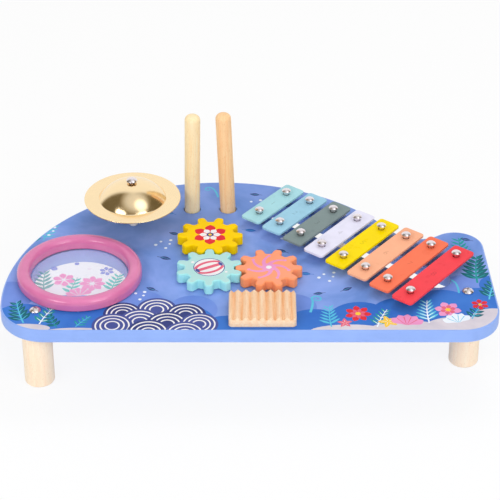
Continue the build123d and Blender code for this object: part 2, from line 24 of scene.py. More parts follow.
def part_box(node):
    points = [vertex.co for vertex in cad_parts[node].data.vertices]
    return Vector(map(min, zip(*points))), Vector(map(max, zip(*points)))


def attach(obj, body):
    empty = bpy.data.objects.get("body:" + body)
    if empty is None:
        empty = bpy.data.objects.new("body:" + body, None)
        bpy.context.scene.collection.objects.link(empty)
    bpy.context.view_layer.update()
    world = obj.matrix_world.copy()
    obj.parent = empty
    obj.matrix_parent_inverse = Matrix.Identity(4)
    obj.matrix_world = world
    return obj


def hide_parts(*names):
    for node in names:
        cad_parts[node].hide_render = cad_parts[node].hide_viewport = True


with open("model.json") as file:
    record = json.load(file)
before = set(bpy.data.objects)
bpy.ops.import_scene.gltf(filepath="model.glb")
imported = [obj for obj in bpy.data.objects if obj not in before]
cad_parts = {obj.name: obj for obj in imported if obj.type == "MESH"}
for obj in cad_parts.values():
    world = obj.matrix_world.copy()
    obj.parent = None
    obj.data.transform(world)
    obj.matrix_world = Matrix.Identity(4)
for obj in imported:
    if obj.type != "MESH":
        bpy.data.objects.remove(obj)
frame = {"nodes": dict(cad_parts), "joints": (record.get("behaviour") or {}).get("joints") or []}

LOG = logging.getLogger("activity_table")
MM = 0.001  # a millimetre in metres
JOIN = 1e-6  # how near two corners are one corner, in metres
CUT_TOLERANCE = 1e-5  # how near two points of a cut top are one point, in millimetres
LEVEL = 0.999  # the least upward share in the normal of a level face
SHARP = radians(38)  # the angle between two faces from which their edge is sharp
FLAT_WEIGHT = 80  # how strongly large faces rule the shading
ROUND_STEPS = 36  # the corners of a printed oval
LEAF_STEPS = 12  # the steps from a printed leaf's foot to its tip
UP = Vector((0, 0, 1))
LAMP_AIM = Vector((0, 0, 0.08))  # what the lamps look at, in metres
SENSOR_WIDTH = 36.0  # the camera's, in millimetres
SIGHT = 30.0  # how far the camera sees, in metres
Point = tuple[float, float]
Rgb = tuple[int, int, int]
Rgba = tuple[float, float, float, float]
Socket = bpy.types.NodeSocket
Source = Socket | bpy.types.Node
Value = float | Sequence[float] | bpy.types.ID | Source


def linear(colour: Rgb, gain: float = 1.0) -> Rgba:
    """Turns a display colour into the linear colour that shaders take.

    Args:
        colour: Red, green and blue from 0 to 255.
        gain: A factor on the linear colour.

    Returns:
        The linear colour with an alpha of 1.
    """
    channels = []
    for value in colour:
        share = value / 255
        light = share / 12.92 if share <= 0.04045 else ((share + 0.055) / 1.055) ** 2.4
        channels.append(min(1.0, light * gain))
    return (*channels, 1.0)


# ---- Finishes ----


class Wiring:
    """A node tree whose nodes are linked as they are added."""

    def __init__(self, tree: bpy.types.NodeTree) -> None:
        """Starts on a tree, which loses the nodes that it has."""
        tree.nodes.clear()
        self.tree = tree

    def feed(self, socket: Socket, value: Value) -> None:
        """Links a source to a socket, or sets the socket's value.

        Args:
            socket: The socket.
            value: A value, a socket, or a node, which stands for its first output.
        """
        source = value.outputs[0] if isinstance(value, bpy.types.Node) else value
        if isinstance(source, Socket):
            self.tree.links.new(source, socket)
        else:
            socket.default_value = value

    def node(self, kind: str, settings: dict[str, str | bool] | None = None,
             **inputs: Value) -> bpy.types.Node:
        """Adds a node.

        Args:
            kind: The node's type.
            settings: Its properties.
            inputs: What each socket gets, by its identifier with underscores for spaces.

        Returns:
            The node.
        """
        node = self.tree.nodes.new(kind)
        for name, value in (settings or {}).items():
            setattr(node, name, value)
        sockets = {socket.identifier.replace(" ", "_"): socket for socket in node.inputs}
        for name, value in inputs.items():
            self.feed(sockets[name], value)
        return node

    def math(self, operation: str, *terms: Value) -> Source:
        """Adds a maths node for one to three numbers and gives its result."""
        named = dict(zip(("Value", "Value_001", "Value_002"), terms))
        return self.node("ShaderNodeMath", {"operation": operation}, **named)

    def span(self, value: Source, low: Value, high: Value, start: float = 0.3, end: float = 0.7,
             kind: str = "LINEAR") -> Source:
        """Maps a value so that it is low up to the start and high from the end on."""
        sockets = {"Value": value, "From_Min": start, "From_Max": end, "To_Min": low, "To_Max": high}
        return self.node("ShaderNodeMapRange", {"interpolation_type": kind}, **sockets)


class ShaderGraph(Wiring):
    """A material with one Principled shader and the nodes that feed it."""

    def __init__(self, name: str) -> None:
        """Makes the material.

        Args:
            name: The material's name.
        """
        self.material = bpy.data.materials.new(name)
        self.material.use_nodes = True
        super().__init__(self.material.node_tree)
        self.shader = self.node("ShaderNodeBsdfPrincipled")
        self.node("ShaderNodeOutputMaterial", Surface=self.shader)
        self.coordinates = self.node("ShaderNodeTexCoord").outputs["Object"]

    def dress(self, **values: Value) -> bpy.types.Material:
        """Sets or feeds the shader's own sockets.

        Args:
            values: What each socket gets, by its name in lower case with underscores.

        Returns:
            The material.
        """
        for name, value in values.items():
            self.feed(self.shader.inputs[name.replace("_", " ").title().replace("Ior", "IOR")], value)
        return self.material

    def place(self, size: float | Sequence[float], centre: Vector | None = None) -> Source:
        """Gives object coordinates in units of a feature's size.

        Args:
            size: The length of one unit in millimetres, along each axis or along all of them.
            centre: The pattern's centre in millimetres.

        Returns:
            The coordinates.
        """
        scale = Vector(size if isinstance(size, Sequence) else (size, size, size)) * MM
        start = (centre or Vector()) * MM
        sockets = {"Vector": self.coordinates, "Location": start, "Scale": scale}
        return self.node("ShaderNodeMapping", {"vector_type": "TEXTURE"}, **sockets)

    def noise(self, size: float | Sequence[float], detail: float = 2.0, roughness: float = 0.5,
              distortion: float = 0.0, centre: Vector | None = None) -> Source:
        """Adds noise on object coordinates.

        Args:
            size: The size of its features in millimetres, along each axis or along all of them.
            detail: How many finer octaves it holds.
            roughness: How strong the finer octaves are.
            distortion: How far the pattern is pulled about.
            centre: Where it is moved to, in millimetres.

        Returns:
            The value, about 0.5 on average.
        """
        sockets = {"Vector": self.place(size, centre), "Scale": 1.0, "Detail": detail}
        sockets.update(Roughness=roughness, Distortion=distortion)
        return self.node("ShaderNodeTexNoise", **sockets)

    def blend(self, value: Source, first: Rgba, last: Rgba, start: float = 0.3,
              end: float = 0.7) -> Source:
        """Maps a value to colours between two.

        Args:
            value: The value.
            first: The colour up to the start.
            last: The colour from the end on.
            start: The value where the change starts.
            end: The value where it ends.

        Returns:
            The colour.
        """
        node = self.node("ShaderNodeValToRGB", Fac=value)
        for element, position, colour in zip(node.color_ramp.elements, (start, end), (first, last)):
            element.position = position
            element.color = colour
        return node

    def darken(self, colour: Source, mask: Source, tone: Rgba) -> Source:
        """Multiplies a colour by a tone where a mask is 1.

        Args:
            colour: The colour to change.
            mask: Where it changes, from 0 to 1.
            tone: The colour it is multiplied by.

        Returns:
            The changed colour.
        """
        settings = {"data_type": "RGBA", "blend_type": "MULTIPLY"}
        colours = {"A_Color": colour, "B_Color": tone}
        return self.node("ShaderNodeMix", settings, Factor_Float=mask, **colours).outputs[2]

    def bump(self, height: Source, depth: float, strength: float = 1.0) -> Source:
        """Turns a relief from 0 to 1 into a normal, with its depth in millimetres."""
        return self.node("ShaderNodeBump", Height=height, Distance=depth * MM, Strength=strength)


@dataclass(frozen=True)
class Finish(ABC):
    """Something that a surface can be finished with.

    Attributes:
        name: The material's name.
        colour: Its main colour.
    """

    name: str
    colour: Rgb

    @abstractmethod
    def build(self) -> bpy.types.Material:
        """Makes the material's nodes."""

    @cache
    def material(self) -> bpy.types.Material:
        """The one material of this finish."""
        return self.build()


@dataclass(frozen=True)
class Paint(Finish):
    """Satin paint or printed ink on sanded plywood.

    Attributes:
        shade: The colour it drifts to in patches.
        patch: The size of the patches.
        roughness: The middle roughness.
        grain: The depth of the wood's grain through the paint.
        opacity: 1 for paint, less for ink on clear film.
        gloss: How strongly it mirrors.
    """

    shade: Rgb
    patch: float = 26.0
    roughness: float = 0.42
    grain: float = 0.012
    opacity: float = 1.0
    gloss: float = 0.1

    def build(self) -> bpy.types.Material:
        """Makes patches of colour, fine orange peel and a hint of grain.

        Returns:
            The material.
        """
        graph = ShaderGraph(self.name)
        patches = graph.noise(self.patch, 4.0, 0.58, 0.4)
        peel = graph.noise(0.9)
        fibres = graph.noise((16.0, 0.8, 0.8))
        return graph.dress(
            base_color=graph.blend(patches, linear(self.colour), linear(self.shade), 0.36, 0.66),
            roughness=graph.span(peel, self.roughness - 0.05, self.roughness + 0.06),
            normal=graph.bump(graph.math("ADD", peel, fibres), self.grain),
            alpha=self.opacity,
            specular_ior_level=self.gloss,
        )


@dataclass(frozen=True)
class Enamel(Finish):
    """Baked enamel on a metal bar.

    Attributes:
        roughness: The middle roughness.
    """

    roughness: float = 0.3

    def build(self) -> bpy.types.Material:
        """Makes an even coat with a fine peel and slow changes of gloss.

        Returns:
            The material.
        """
        graph = ShaderGraph(self.name)
        drift = graph.noise(14.0, 3.0)
        return graph.dress(
            base_color=graph.blend(drift, linear(self.colour, 0.95), linear(self.colour, 1.04)),
            roughness=graph.span(drift, self.roughness - 0.05, self.roughness + 0.07),
            normal=graph.bump(graph.noise(0.55), 0.006),
            specular_ior_level=0.08,
        )


@dataclass(frozen=True)
class Wood(Finish):
    """Smooth sanded hardwood with its grain along one axis.

    Attributes:
        dark: The colour of the growth rings.
        grain: The axis that the fibres run along.
        ring: The distance between growth rings.
        offset: How far the pattern is moved, so that pieces differ.
        roughness: The middle roughness.
    """

    dark: Rgb
    grain: tuple[float, float, float]
    ring: float = 3.4
    offset: float = 0.0
    roughness: float = 0.52

    def build(self) -> bpy.types.Material:
        """Makes growth rings, long fibres and short dark flecks.

        Returns:
            The material.
        """
        graph = ShaderGraph(self.name)
        centre = Vector((self.offset, 2.7 * self.offset, 0.6 * self.offset))
        rings = graph.noise(self.stretched(self.ring, 46.0), 3.0, 0.55, 0.8, centre)
        fibres = graph.noise(self.stretched(0.55, 17.0), 3.0, 0.6, 0.0, centre)
        flecks = graph.noise(self.stretched(0.34, 2.6), 1.0, centre=centre)
        figure = graph.math("MULTIPLY_ADD", rings, 0.62, graph.math("MULTIPLY", fibres, 0.38))
        tone = graph.blend(figure, linear(self.colour), linear(self.dark), 0.34, 0.7)
        marks = graph.span(flecks, 0.0, 1.0, 0.6, 0.72)
        return graph.dress(
            base_color=self.worked(graph, graph.darken(tone, marks, (0.88, 0.8, 0.72, 1.0))),
            roughness=graph.span(fibres, self.roughness - 0.06, self.roughness + 0.08),
            normal=graph.bump(fibres, 0.03, 0.7),
            specular_ior_level=0.3,
        )

    def stretched(self, across: float, along: float) -> tuple[float, float, float]:
        """The size of a feature that is long in the direction of the grain."""
        return tuple(across + (along - across) * abs(share) for share in self.grain)

    def worked(self, graph: ShaderGraph, colour: Source) -> Source:
        """The wood's colour with the marks of sawing and painted shade, which are none here."""
        return colour


@dataclass(frozen=True)
class GroovedWood(Wood):
    """Hardwood with sawn grooves, darker at their bottoms: the sawn wood's tone and painted shade.

    Attributes:
        pitch: The distance from groove to groove.
        middle: Where the middle crest runs, from the board's middle to the right.
        floor: The height of the grooves' bottoms over the ground.
        burn: The colour's factor at a groove's bottom: sawn wood's tone and painted shade.
    """

    pitch: float = 7.0
    middle: float = 0.0
    floor: float = 0.0
    burn: Rgba = (0.84, 0.6, 0.36, 1.0)

    def worked(self, graph: ShaderGraph, colour: Source) -> Source:
        """Darkens the grooves unevenly along their length, with painted shade at their bottoms.

        Args:
            graph: The graph to add to.
            colour: The colour of the wood.

        Returns:
            The changed colour.
        """
        place = graph.place(self.pitch, Vector((self.middle, 0, self.floor)))
        parts = graph.node("ShaderNodeSeparateXYZ", Vector=place).outputs
        depth = graph.span(graph.math("PINGPONG", parts["X"], 0.5), 0.0, 1.0, 0.1, 0.5)
        above = graph.span(parts["Z"], 0.0, 1.0, -0.04, 0.02)
        streaks = graph.span(graph.noise((1.6, 30.0, 4.0), 2.0), 0.35, 1.0)
        # painted shade at the groove bottoms, together with the sawn wood's own tone
        mask = graph.math("MULTIPLY", graph.math("MULTIPLY", depth, above), streaks)
        return graph.darken(colour, mask, self.burn)


@dataclass(frozen=True)
class Metal(Finish):
    """Bare or plated metal.

    Attributes:
        roughness: The middle roughness.
        spun_about: The axis of its spinning lines, or None for a plated piece.
        groove: The distance between spinning lines.
    """

    roughness: float
    spun_about: Point | None = None
    groove: float = 0.55

    def build(self) -> bpy.types.Material:
        """Makes a metal with cloudy polish and, if it was spun, fine rings.

        Returns:
            The material.
        """
        graph = ShaderGraph(self.name)
        clouds = graph.noise(9.0, 4.0, 0.6)
        if self.spun_about:
            relief = graph.bump(self.rings(graph), 0.0022)
        else:
            relief = graph.bump(graph.noise(0.7), 0.004)
        return graph.dress(
            base_color=graph.blend(clouds, linear(self.colour, 0.97), linear(self.colour)),
            roughness=graph.span(clouds, self.roughness * 0.8, self.roughness * 1.25),
            normal=relief,
            metallic=1.0,
        )

    def rings(self, graph: ShaderGraph) -> Source:
        """A relief of uneven rings about the spinning axis.

        Args:
            graph: The graph to add to.

        Returns:
            The relief's height.
        """
        place = graph.place(self.groove, Vector((*self.spun_about, 0)))
        level = {"Vector": place, "Vector_001": (1, 1, 0)}
        flat = graph.node("ShaderNodeVectorMath", {"operation": "MULTIPLY"}, **level)
        reach = graph.node("ShaderNodeVectorMath", {"operation": "LENGTH"}, Vector=flat)
        line = graph.node("ShaderNodeCombineXYZ", X=reach.outputs["Value"])
        return graph.node("ShaderNodeTexNoise", Vector=line, Scale=1.0)


@dataclass(frozen=True)
class Felt(Finish):
    """Pressed wool felt.

    Attributes:
        fleck: The colour of stray fibres.
    """

    fleck: Rgb

    def build(self) -> bpy.types.Material:
        """Makes a matted surface with stray fibres and a soft sheen.

        Returns:
            The material.
        """
        graph = ShaderGraph(self.name)
        mat = graph.noise(0.5, 4.0, 0.7, 0.6)
        return graph.dress(
            base_color=graph.blend(mat, linear(self.colour), linear(self.fleck), 0.4, 0.72),
            normal=graph.bump(mat, 0.25, 0.8),
            roughness=0.95,
            sheen_weight=0.4,
            sheen_roughness=0.5,
        )


@dataclass(frozen=True)
class Plastic(Finish):
    """Moulded nylon or clear film.

    Attributes:
        roughness: The middle roughness.
        opacity: 1 for nylon, less for film.
    """

    roughness: float
    opacity: float = 1.0

    def build(self) -> bpy.types.Material:
        """Makes a smooth surface with a faint flow in it.

        Returns:
            The material.
        """
        graph = ShaderGraph(self.name)
        flow = graph.noise(22.0, 3.0)
        return graph.dress(
            base_color=graph.blend(flow, linear(self.colour, 0.96), linear(self.colour)),
            roughness=graph.span(flow, self.roughness * 0.8, self.roughness * 1.3),
            normal=graph.bump(flow, 0.05, 0.5),
            alpha=self.opacity,
            ior=1.49,
        )


class Ink(Enum):
    """The paints and printing inks of the table."""

    WATER = Paint("ink_water", (144, 170, 238), (108, 144, 214), patch=58.0)
    EDGE = Paint("paint_edge", (147, 177, 240), (141, 171, 235), gloss=0.2)
    DEEP = Paint("ink_deep_water", (66, 124, 210), (48, 104, 194), patch=70.0)
    MIST = Paint("ink_mist", (120, 150, 226), (104, 136, 214), patch=40.0)
    SAND = Paint("ink_sand", (222, 214, 222), (206, 198, 210))
    NAVY = Paint("ink_navy", (62, 72, 134), (52, 60, 118))
    DUSK = Paint("ink_dusk", (78, 88, 156), (70, 80, 148))
    CREAM = Paint("ink_cream", (246, 243, 240), (236, 232, 238))
    WHITE = Paint("ink_white", (240, 246, 255), (228, 238, 252))
    PINE = Paint("ink_pine", (30, 112, 122), (24, 96, 112))
    TEAL = Paint("ink_teal", (44, 160, 160), (36, 144, 152))
    SKY = Paint("ink_sky", (98, 200, 226), (84, 186, 220))
    PINK = Paint("ink_pink", (240, 160, 205), (232, 146, 196))
    ROSE = Paint("ink_rose", (232, 108, 132), (222, 96, 122))
    RED = Paint("ink_red", (232, 52, 62), (222, 44, 56))
    SUN = Paint("ink_sun", (250, 206, 70), (246, 196, 60))
    YELLOW = Paint("ink_yellow", (255, 213, 4), (252, 206, 0))
    AMBER = Paint("paint_amber", (255, 214, 0), (252, 206, 0))
    MINT = Paint("ink_mint", (186, 226, 223), (178, 221, 220))
    AQUA = Paint("paint_aqua", (172, 236, 236), (162, 230, 232))
    PEACH = Paint("ink_peach", (255, 164, 126), (252, 158, 118))
    CORAL = Paint("paint_coral", (255, 160, 112), (252, 150, 100))
    MAUVE = Paint("paint_mauve", (222, 122, 172), (214, 112, 164), roughness=0.2, gloss=0.8)
    BLUSH = Paint("film_blush", (240, 150, 205), (234, 140, 198), opacity=0.8, grain=0.0)
    LEAF = Paint("film_leaf", (104, 200, 196), (92, 190, 190), opacity=0.8, grain=0.0)
    LILAC = Paint("film_lilac", (128, 138, 222), (120, 130, 214), opacity=0.7, grain=0.0)
    MOSS = Paint("film_moss", (116, 170, 176), (108, 162, 170), opacity=0.8, grain=0.0)
    PEARL = Paint("film_pearl", (236, 226, 244), (230, 220, 240), opacity=0.55, grain=0.0)
    CLEAR = Plastic("film_clear", (226, 226, 250), 0.09, opacity=0.22)

    def material(self) -> bpy.types.Material:
        """The one material of this ink."""
        return self.value.material()


Coat = Ink | Finish
NICKEL = Metal("bright_nickel", (238, 230, 234), 0.28)
ZINC = Metal("zinc_plate", (206, 208, 212), 0.34)
NYLON = Plastic("white_nylon", (238, 236, 228), 0.38)
# The felt is coloured dark as painted shade, for the shade under the keys and the cymbal where it
# sits.
SHADE_DARK_FELT = Felt("dark_felt", (62, 60, 70), (112, 110, 122))


# ---- Meshes and pieces ----


@dataclass(frozen=True)
class Seat:
    """The box of a solid of the frame.

    Attributes:
        low: Its lowest corner.
        high: Its highest corner.
    """

    low: Vector
    high: Vector

    @property
    def centre(self) -> Vector:
        """The middle of the box."""
        return (self.low + self.high) / 2

    @property
    def size(self) -> Vector:
        """The length of the box along each axis."""
        return self.high - self.low

    @property
    def foot(self) -> Vector:
        """The middle of the underside."""
        return Vector((self.centre.x, self.centre.y, self.low.z))

    @property
    def crown(self) -> Vector:
        """The middle of the top."""
        return Vector((self.centre.x, self.centre.y, self.high.z))


def seat(node: str) -> Seat:
    """The box of a node of the frame, in millimetres."""
    low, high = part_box(node)
    return Seat(low / MM, high / MM)


def joined_copy(node: str) -> bmesh.types.BMesh:
    """A workable copy of a node of the frame, with its loose triangles joined.

    Args:
        node: The node's name.

    Returns:
        The copy, in metres.
    """
    source = frame["nodes"][node].data.copy()
    stored = source.attributes.get("custom_normal")
    if stored:
        source.attributes.remove(stored)
    solid = bmesh.new()
    solid.from_mesh(source)
    bpy.data.meshes.remove(source)
    bmesh.ops.remove_doubles(solid, verts=solid.verts, dist=JOIN)
    return solid


def seats_of_each(node: str) -> list[Seat]:
    """The boxes of the separate solids of a node.

    Args:
        node: The node's name.

    Returns:
        One box for each solid.
    """
    solid = joined_copy(node)
    left = set(solid.verts)
    boxes = []
    while left:
        island = []
        reached = [left.pop()]
        while reached:
            vert = reached.pop()
            island.append(vert.co / MM)
            for edge in vert.link_edges:
                other = edge.other_vert(vert)
                if other in left:
                    left.remove(other)
                    reached.append(other)
        low = Vector(min(co[axis] for co in island) for axis in range(3))
        high = Vector(max(co[axis] for co in island) for axis in range(3))
        boxes.append(Seat(low, high))
    solid.free()
    return sorted(boxes, key=lambda box: (round(box.centre.x), round(box.centre.y)))


def smooth_mesh(solid: bmesh.types.BMesh) -> bpy.types.Mesh:
    """Turns a solid into a mesh with soft shading that breaks at sharp edges.

    Args:
        solid: The solid, which is freed.

    Returns:
        The mesh.
    """
    mesh = bpy.data.meshes.new("shaped")
    solid.to_mesh(mesh)
    solid.free()
    mesh.shade_smooth()
    mesh.set_sharp_from_angle(angle=SHARP)
    return mesh


def new_object(name: str, mesh: bpy.types.Mesh) -> bpy.types.Object:
    """Adds a mesh to the scene as an object at the origin.

    Args:
        name: The object's name.
        mesh: The mesh.

    Returns:
        The object.
    """
    obj = bpy.data.objects.new(name, mesh)
    bpy.context.scene.collection.objects.link(obj)
    return obj


def settled(obj: bpy.types.Object) -> bpy.types.Mesh:
    """Bakes an object's modifiers into a plain mesh and removes the object.

    Args:
        obj: The object with its modifiers.

    Returns:
        The plain mesh.
    """
    graph = bpy.context.evaluated_depsgraph_get()
    mesh = bpy.data.meshes.new_from_object(obj.evaluated_get(graph), depsgraph=graph)
    bpy.data.objects.remove(obj)
    return mesh


def even_normals(mesh: bpy.types.Mesh) -> bpy.types.Mesh:
    """Lets large flat faces rule the shading of the rounded edges beside them.

    Args:
        mesh: The mesh.

    Returns:
        A mesh with weighted normals.
    """
    obj = new_object("evened", mesh)
    weighted = obj.modifiers.new("even_normals", "WEIGHTED_NORMAL")
    weighted.keep_sharp = True
    weighted.weight = FLAT_WEIGHT
    return settled(obj)


def add_piece(node: str, mesh: bpy.types.Mesh, body: str) -> None:
    """Puts a finished piece into the scene, on its body and in its node's place.

    Args:
        node: The node that it stands for.
        mesh: The finished mesh, in metres, with its materials.
        body: The body that it rides on.
    """
    piece = new_object(node + "_dressed", mesh)
    mesh.name = piece.name
    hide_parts(node)
    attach(piece, body)
    LOG.info("%s: %d faces on %s", piece.name, len(mesh.polygons), body)


def dress_node(node: str, finish: Finish) -> None:
    """Gives a node of the frame its finish, with its own shape kept.

    Args:
        node: The node's name.
        finish: The finish.
    """
    mesh = frame["nodes"][node].data
    mesh.materials.clear()
    mesh.materials.append(finish.material())
    LOG.info("%s: finished as %s", node, finish.name)


def arc(centre: Point, radius: float, start: float, end: float, steps: int = 8) -> list[Point]:
    """Points along an arc of a section.

    Args:
        centre: The arc's centre.
        radius: Its radius.
        start: The angle of its first point, in degrees.
        end: The angle of its last point.
        steps: How many chords it has.

    Returns:
        The points, with both ends.
    """
    points = []
    for i in range(steps + 1):
        angle = radians(start + (end - start) * i / steps)
        points.append((centre[0] + radius * cos(angle), centre[1] + radius * sin(angle)))
    return points


def turned_solid(section: Sequence[Point], foot: Vector, segments: int,
                 axis: Vector = UP) -> bmesh.types.BMesh:
    """Turns a half section about an axis.

    Args:
        section: Its points as (radius, height), in order. It closes on itself, or on the axis
            where its ends lie there.
        foot: Where the section's origin stands, in millimetres.
        segments: How many steps a turn has.
        axis: The direction in which the section's heights run.

    Returns:
        The closed solid, in metres.
    """
    solid = bmesh.new()
    swing = UP.rotation_difference(axis).to_matrix()
    rings = []
    for radius, height in section:
        ring = []
        for i in range(segments if radius > 0 else 1):
            angle = tau * i / segments
            place = foot + swing @ Vector((radius * cos(angle), radius * sin(angle), height))
            ring.append(solid.verts.new(place * MM))
        rings.append(ring)
    ends_on_axis = len(rings[0]) == 1 and len(rings[-1]) == 1
    followers = rings[1:] if ends_on_axis else rings[1:] + rings[:1]
    for ring, follower in zip(rings, followers):
        for i in range(segments):
            here = (ring[i % len(ring)], ring[(i + 1) % len(ring)])
            there = (follower[(i + 1) % len(follower)], follower[i % len(follower)])
            corners = list(dict.fromkeys(here + there))
            if len(corners) > 2:
                solid.faces.new(corners)
    bmesh.ops.recalc_face_normals(solid, faces=solid.faces)
    return solid


def turned_mesh(section: Sequence[Point], foot: Vector, coat: Coat, segments: int = 96,
                axis: Vector = UP) -> bpy.types.Mesh:
    """Turns a section and gives it one finish.

    Args:
        section: The half section as (radius, height).
        foot: Where the section's origin stands.
        coat: The finish of the whole surface.
        segments: How many steps a turn has.
        axis: The direction in which the section's heights run.

    Returns:
        The mesh.
    """
    mesh = smooth_mesh(turned_solid(section, foot, segments, axis))
    mesh.materials.append(coat.material())
    return even_normals(mesh)


# ---- Printing on flat tops ----


@dataclass(frozen=True)
class Motif:
    """A flat shape of one ink, seen from above.

    Attributes:
        outline: Its corners in millimetres.
        ink: Its ink.
    """

    outline: tuple[Point, ...]
    ink: Coat


@dataclass(frozen=True)
class Spot:
    """Where a figure is printed.

    Attributes:
        x: Its foot, from the picture's middle to the right.
        y: Its foot, from the picture's middle to the back.
        size: Its height.
        turn: Its turn from upright, counterclockwise in degrees.
    """

    x: float
    y: float
    size: float
    turn: float = 0.0

    def motif(self, points: Iterable[Point], ink: Coat) -> Motif:
        """Places a shape that is drawn upright, with its foot at the origin and a size of 1.

        Args:
            points: The corners of the shape.
            ink: Its ink.

        Returns:
            The motif.
        """
        swing = radians(self.turn)
        placed = []
        for x, y in points:
            across = x * cos(swing) - y * sin(swing)
            up = x * sin(swing) + y * cos(swing)
            placed.append((self.x + self.size * across, self.y + self.size * up))
        return Motif(tuple(placed), ink)

    def inner(self, x: float, y: float, size: float, turn: float = 0.0) -> "Spot":
        """A spot within this one, given as shares of its size and turned on from it."""
        ((px, py),) = self.motif([(x, y)], Ink.WHITE).outline
        return Spot(px, py, self.size * size, self.turn + turn)

    def rays(self, turns: Iterable[float], size: float, points: Sequence[Point],
             ink: Coat) -> list[Motif]:
        """Places a shape, at a share of the spot's size, once for each turn about its foot."""
        return [self.inner(0, 0, size, turn).motif(points, ink) for turn in turns]


def around(count: int, share: float = 0.0) -> list[float]:
    """Evenly spread turns in degrees, moved on by a share of a step."""
    return [360 * (i + share) / count for i in range(count)]


def round_shape(width: float = 1.0, height: float = 1.0, y: float = 0.0) -> list[Point]:
    """An ellipse about a point above the origin."""
    angles = [tau * i / ROUND_STEPS for i in range(ROUND_STEPS)]
    return [(width / 2 * cos(angle), y + height / 2 * sin(angle)) for angle in angles]


def leaf_shape(width: float = 0.4, blunt: float = 1.0) -> list[Point]:
    """A leaf from its foot at the origin to its tip at (0, 1).

    Args:
        width: Its width.
        blunt: 1 for a leaf that is widest in its middle, more for one that is widest further up.

    Returns:
        Its outline.
    """
    right = []
    for i in range(1, LEAF_STEPS):
        share = i / LEAF_STEPS
        right.append((width / 2 * sin(pi * share ** blunt), share))
    left = [(-x, y) for x, y in reversed(right)]
    return [(0, 0), *right, (0, 1), *left]


def band_shape(path: Sequence[Point], start: float, end: float) -> list[Point]:
    """A band along a path that widens or narrows evenly.

    Args:
        path: The points of its middle line.
        start: Its width at the first point.
        end: Its width at the last point.

    Returns:
        Its outline.
    """
    left = []
    right = []
    for i, (x, y) in enumerate(path):
        ax, ay = path[max(i - 1, 0)]
        bx, by = path[min(i + 1, len(path) - 1)]
        span = hypot(bx - ax, by - ay)
        half = (start + (end - start) * i / (len(path) - 1)) / 2
        nx, ny = -(by - ay) / span * half, (bx - ax) / span * half
        left.append((x + nx, y + ny))
        right.append((x - nx, y - ny))
    return right + left[::-1]


@dataclass(frozen=True)
class Figure(ABC):
    """A printed figure made of flat motifs.

    Attributes:
        spot: Its foot or its middle.
        ink: Its main ink.
        line: The ink of its finer parts.
    """

    spot: Spot
    ink: Coat
    line: Coat = Ink.CREAM

    @abstractmethod
    def motifs(self) -> list[Motif]:
        """Its motifs, from the lowest to the uppermost."""


@dataclass(frozen=True)
class Patch(Figure):
    """A plain round or oval patch.

    Attributes:
        flat: Its height as a share of its width.
    """

    flat: float = 1.0

    def motifs(self) -> list[Motif]:
        """One oval."""
        return [self.spot.motif(round_shape(1.0, self.flat), self.ink)]


@dataclass(frozen=True)
class Scallop(Figure):
    """A wave of the traditional scale pattern: rings of two inks, one inside the other."""

    def motifs(self) -> list[Motif]:
        """The rings from the widest to the narrowest.

        Returns:
            The motifs.
        """
        drawn = []
        for i, share in enumerate((1.0, 0.86, 0.78, 0.62, 0.54, 0.38, 0.3)):
            drawn.append(self.spot.motif(round_shape(share, share), self.line if i % 2 else self.ink))
        return drawn


@dataclass(frozen=True)
class Sprig(Figure):
    """A stem with pairs of leaves.

    Attributes:
        pairs: How many pairs of leaves it has.
        width: A leaf's width as a share of its length.
        reach: The length of the lowest leaves as a share of the size.
        bend: How far the tip leans, as a share of the size.
    """

    pairs: int = 4
    width: float = 0.42
    reach: float = 0.42
    bend: float = 0.12

    def motifs(self) -> list[Motif]:
        """The leaves, their veins and the stem over them.

        Returns:
            The motifs.
        """
        drawn = []
        for i in range(self.pairs + 1):
            share = 0.16 + 0.84 * i / (self.pairs + 1)
            length = self.reach * (1 - 0.5 * share)
            for side in (-1, 1):
                lean = -58 * side * (1 - 0.35 * share)
                root = self.spot.inner(self.bend * share ** 2, share, length, lean)
                drawn.append(root.motif(leaf_shape(self.width, 0.8), self.ink))
                if self.ink is not self.line:
                    drawn.append(root.motif(band_shape([(0, 0), (0, 0.62)], 0.09, 0.03), self.line))
        path = [(self.bend * (i / 8) ** 2, i / 8) for i in range(9)]
        drawn.append(self.spot.motif(band_shape(path, 0.045, 0.02), self.line))
        return drawn


@dataclass(frozen=True)
class Blossom(Figure):
    """A flower seen from the front.

    Attributes:
        count: How many petals it has.
        width: A petal's width as a share of its length.
        inner: The ink of a second, smaller ring of petals, if any.
    """

    count: int = 6
    width: float = 0.55
    inner: Ink | None = None

    def motifs(self) -> list[Motif]:
        """The petals, the inner petals and the heart.

        Returns:
            The motifs.
        """
        petal = leaf_shape(self.width, 1.7)
        drawn = self.spot.rays(around(self.count), 0.5, petal, self.ink)
        if self.inner:
            drawn += self.spot.rays(around(self.count, 0.5), 0.3, petal, self.inner)
        return [*drawn, self.spot.motif(round_shape(0.2, 0.2), self.line)]


@dataclass(frozen=True)
class Pinwheel(Figure):
    """A wheel of curved arms.

    Attributes:
        count: How many arms it has.
    """

    count: int = 7

    def motifs(self) -> list[Motif]:
        """The arms, the dots at their tips and a round middle.

        Returns:
            The motifs.
        """
        shares = [i / 8 for i in range(9)]
        path = [(0.5 * share * sin(1.1 * share), 0.5 * share * cos(1.1 * share)) for share in shares]
        dot = [(path[-1][0] + x, path[-1][1] + y) for x, y in round_shape(0.085, 0.085)]
        drawn = self.spot.rays(around(self.count), 1.0, band_shape(path, 0.13, 0.045), self.ink)
        drawn += self.spot.rays(around(self.count), 1.0, dot, self.ink)
        drawn.append(self.spot.motif(round_shape(0.34, 0.34), self.ink))
        drawn.append(self.spot.motif(round_shape(0.14, 0.14), self.line))
        return drawn


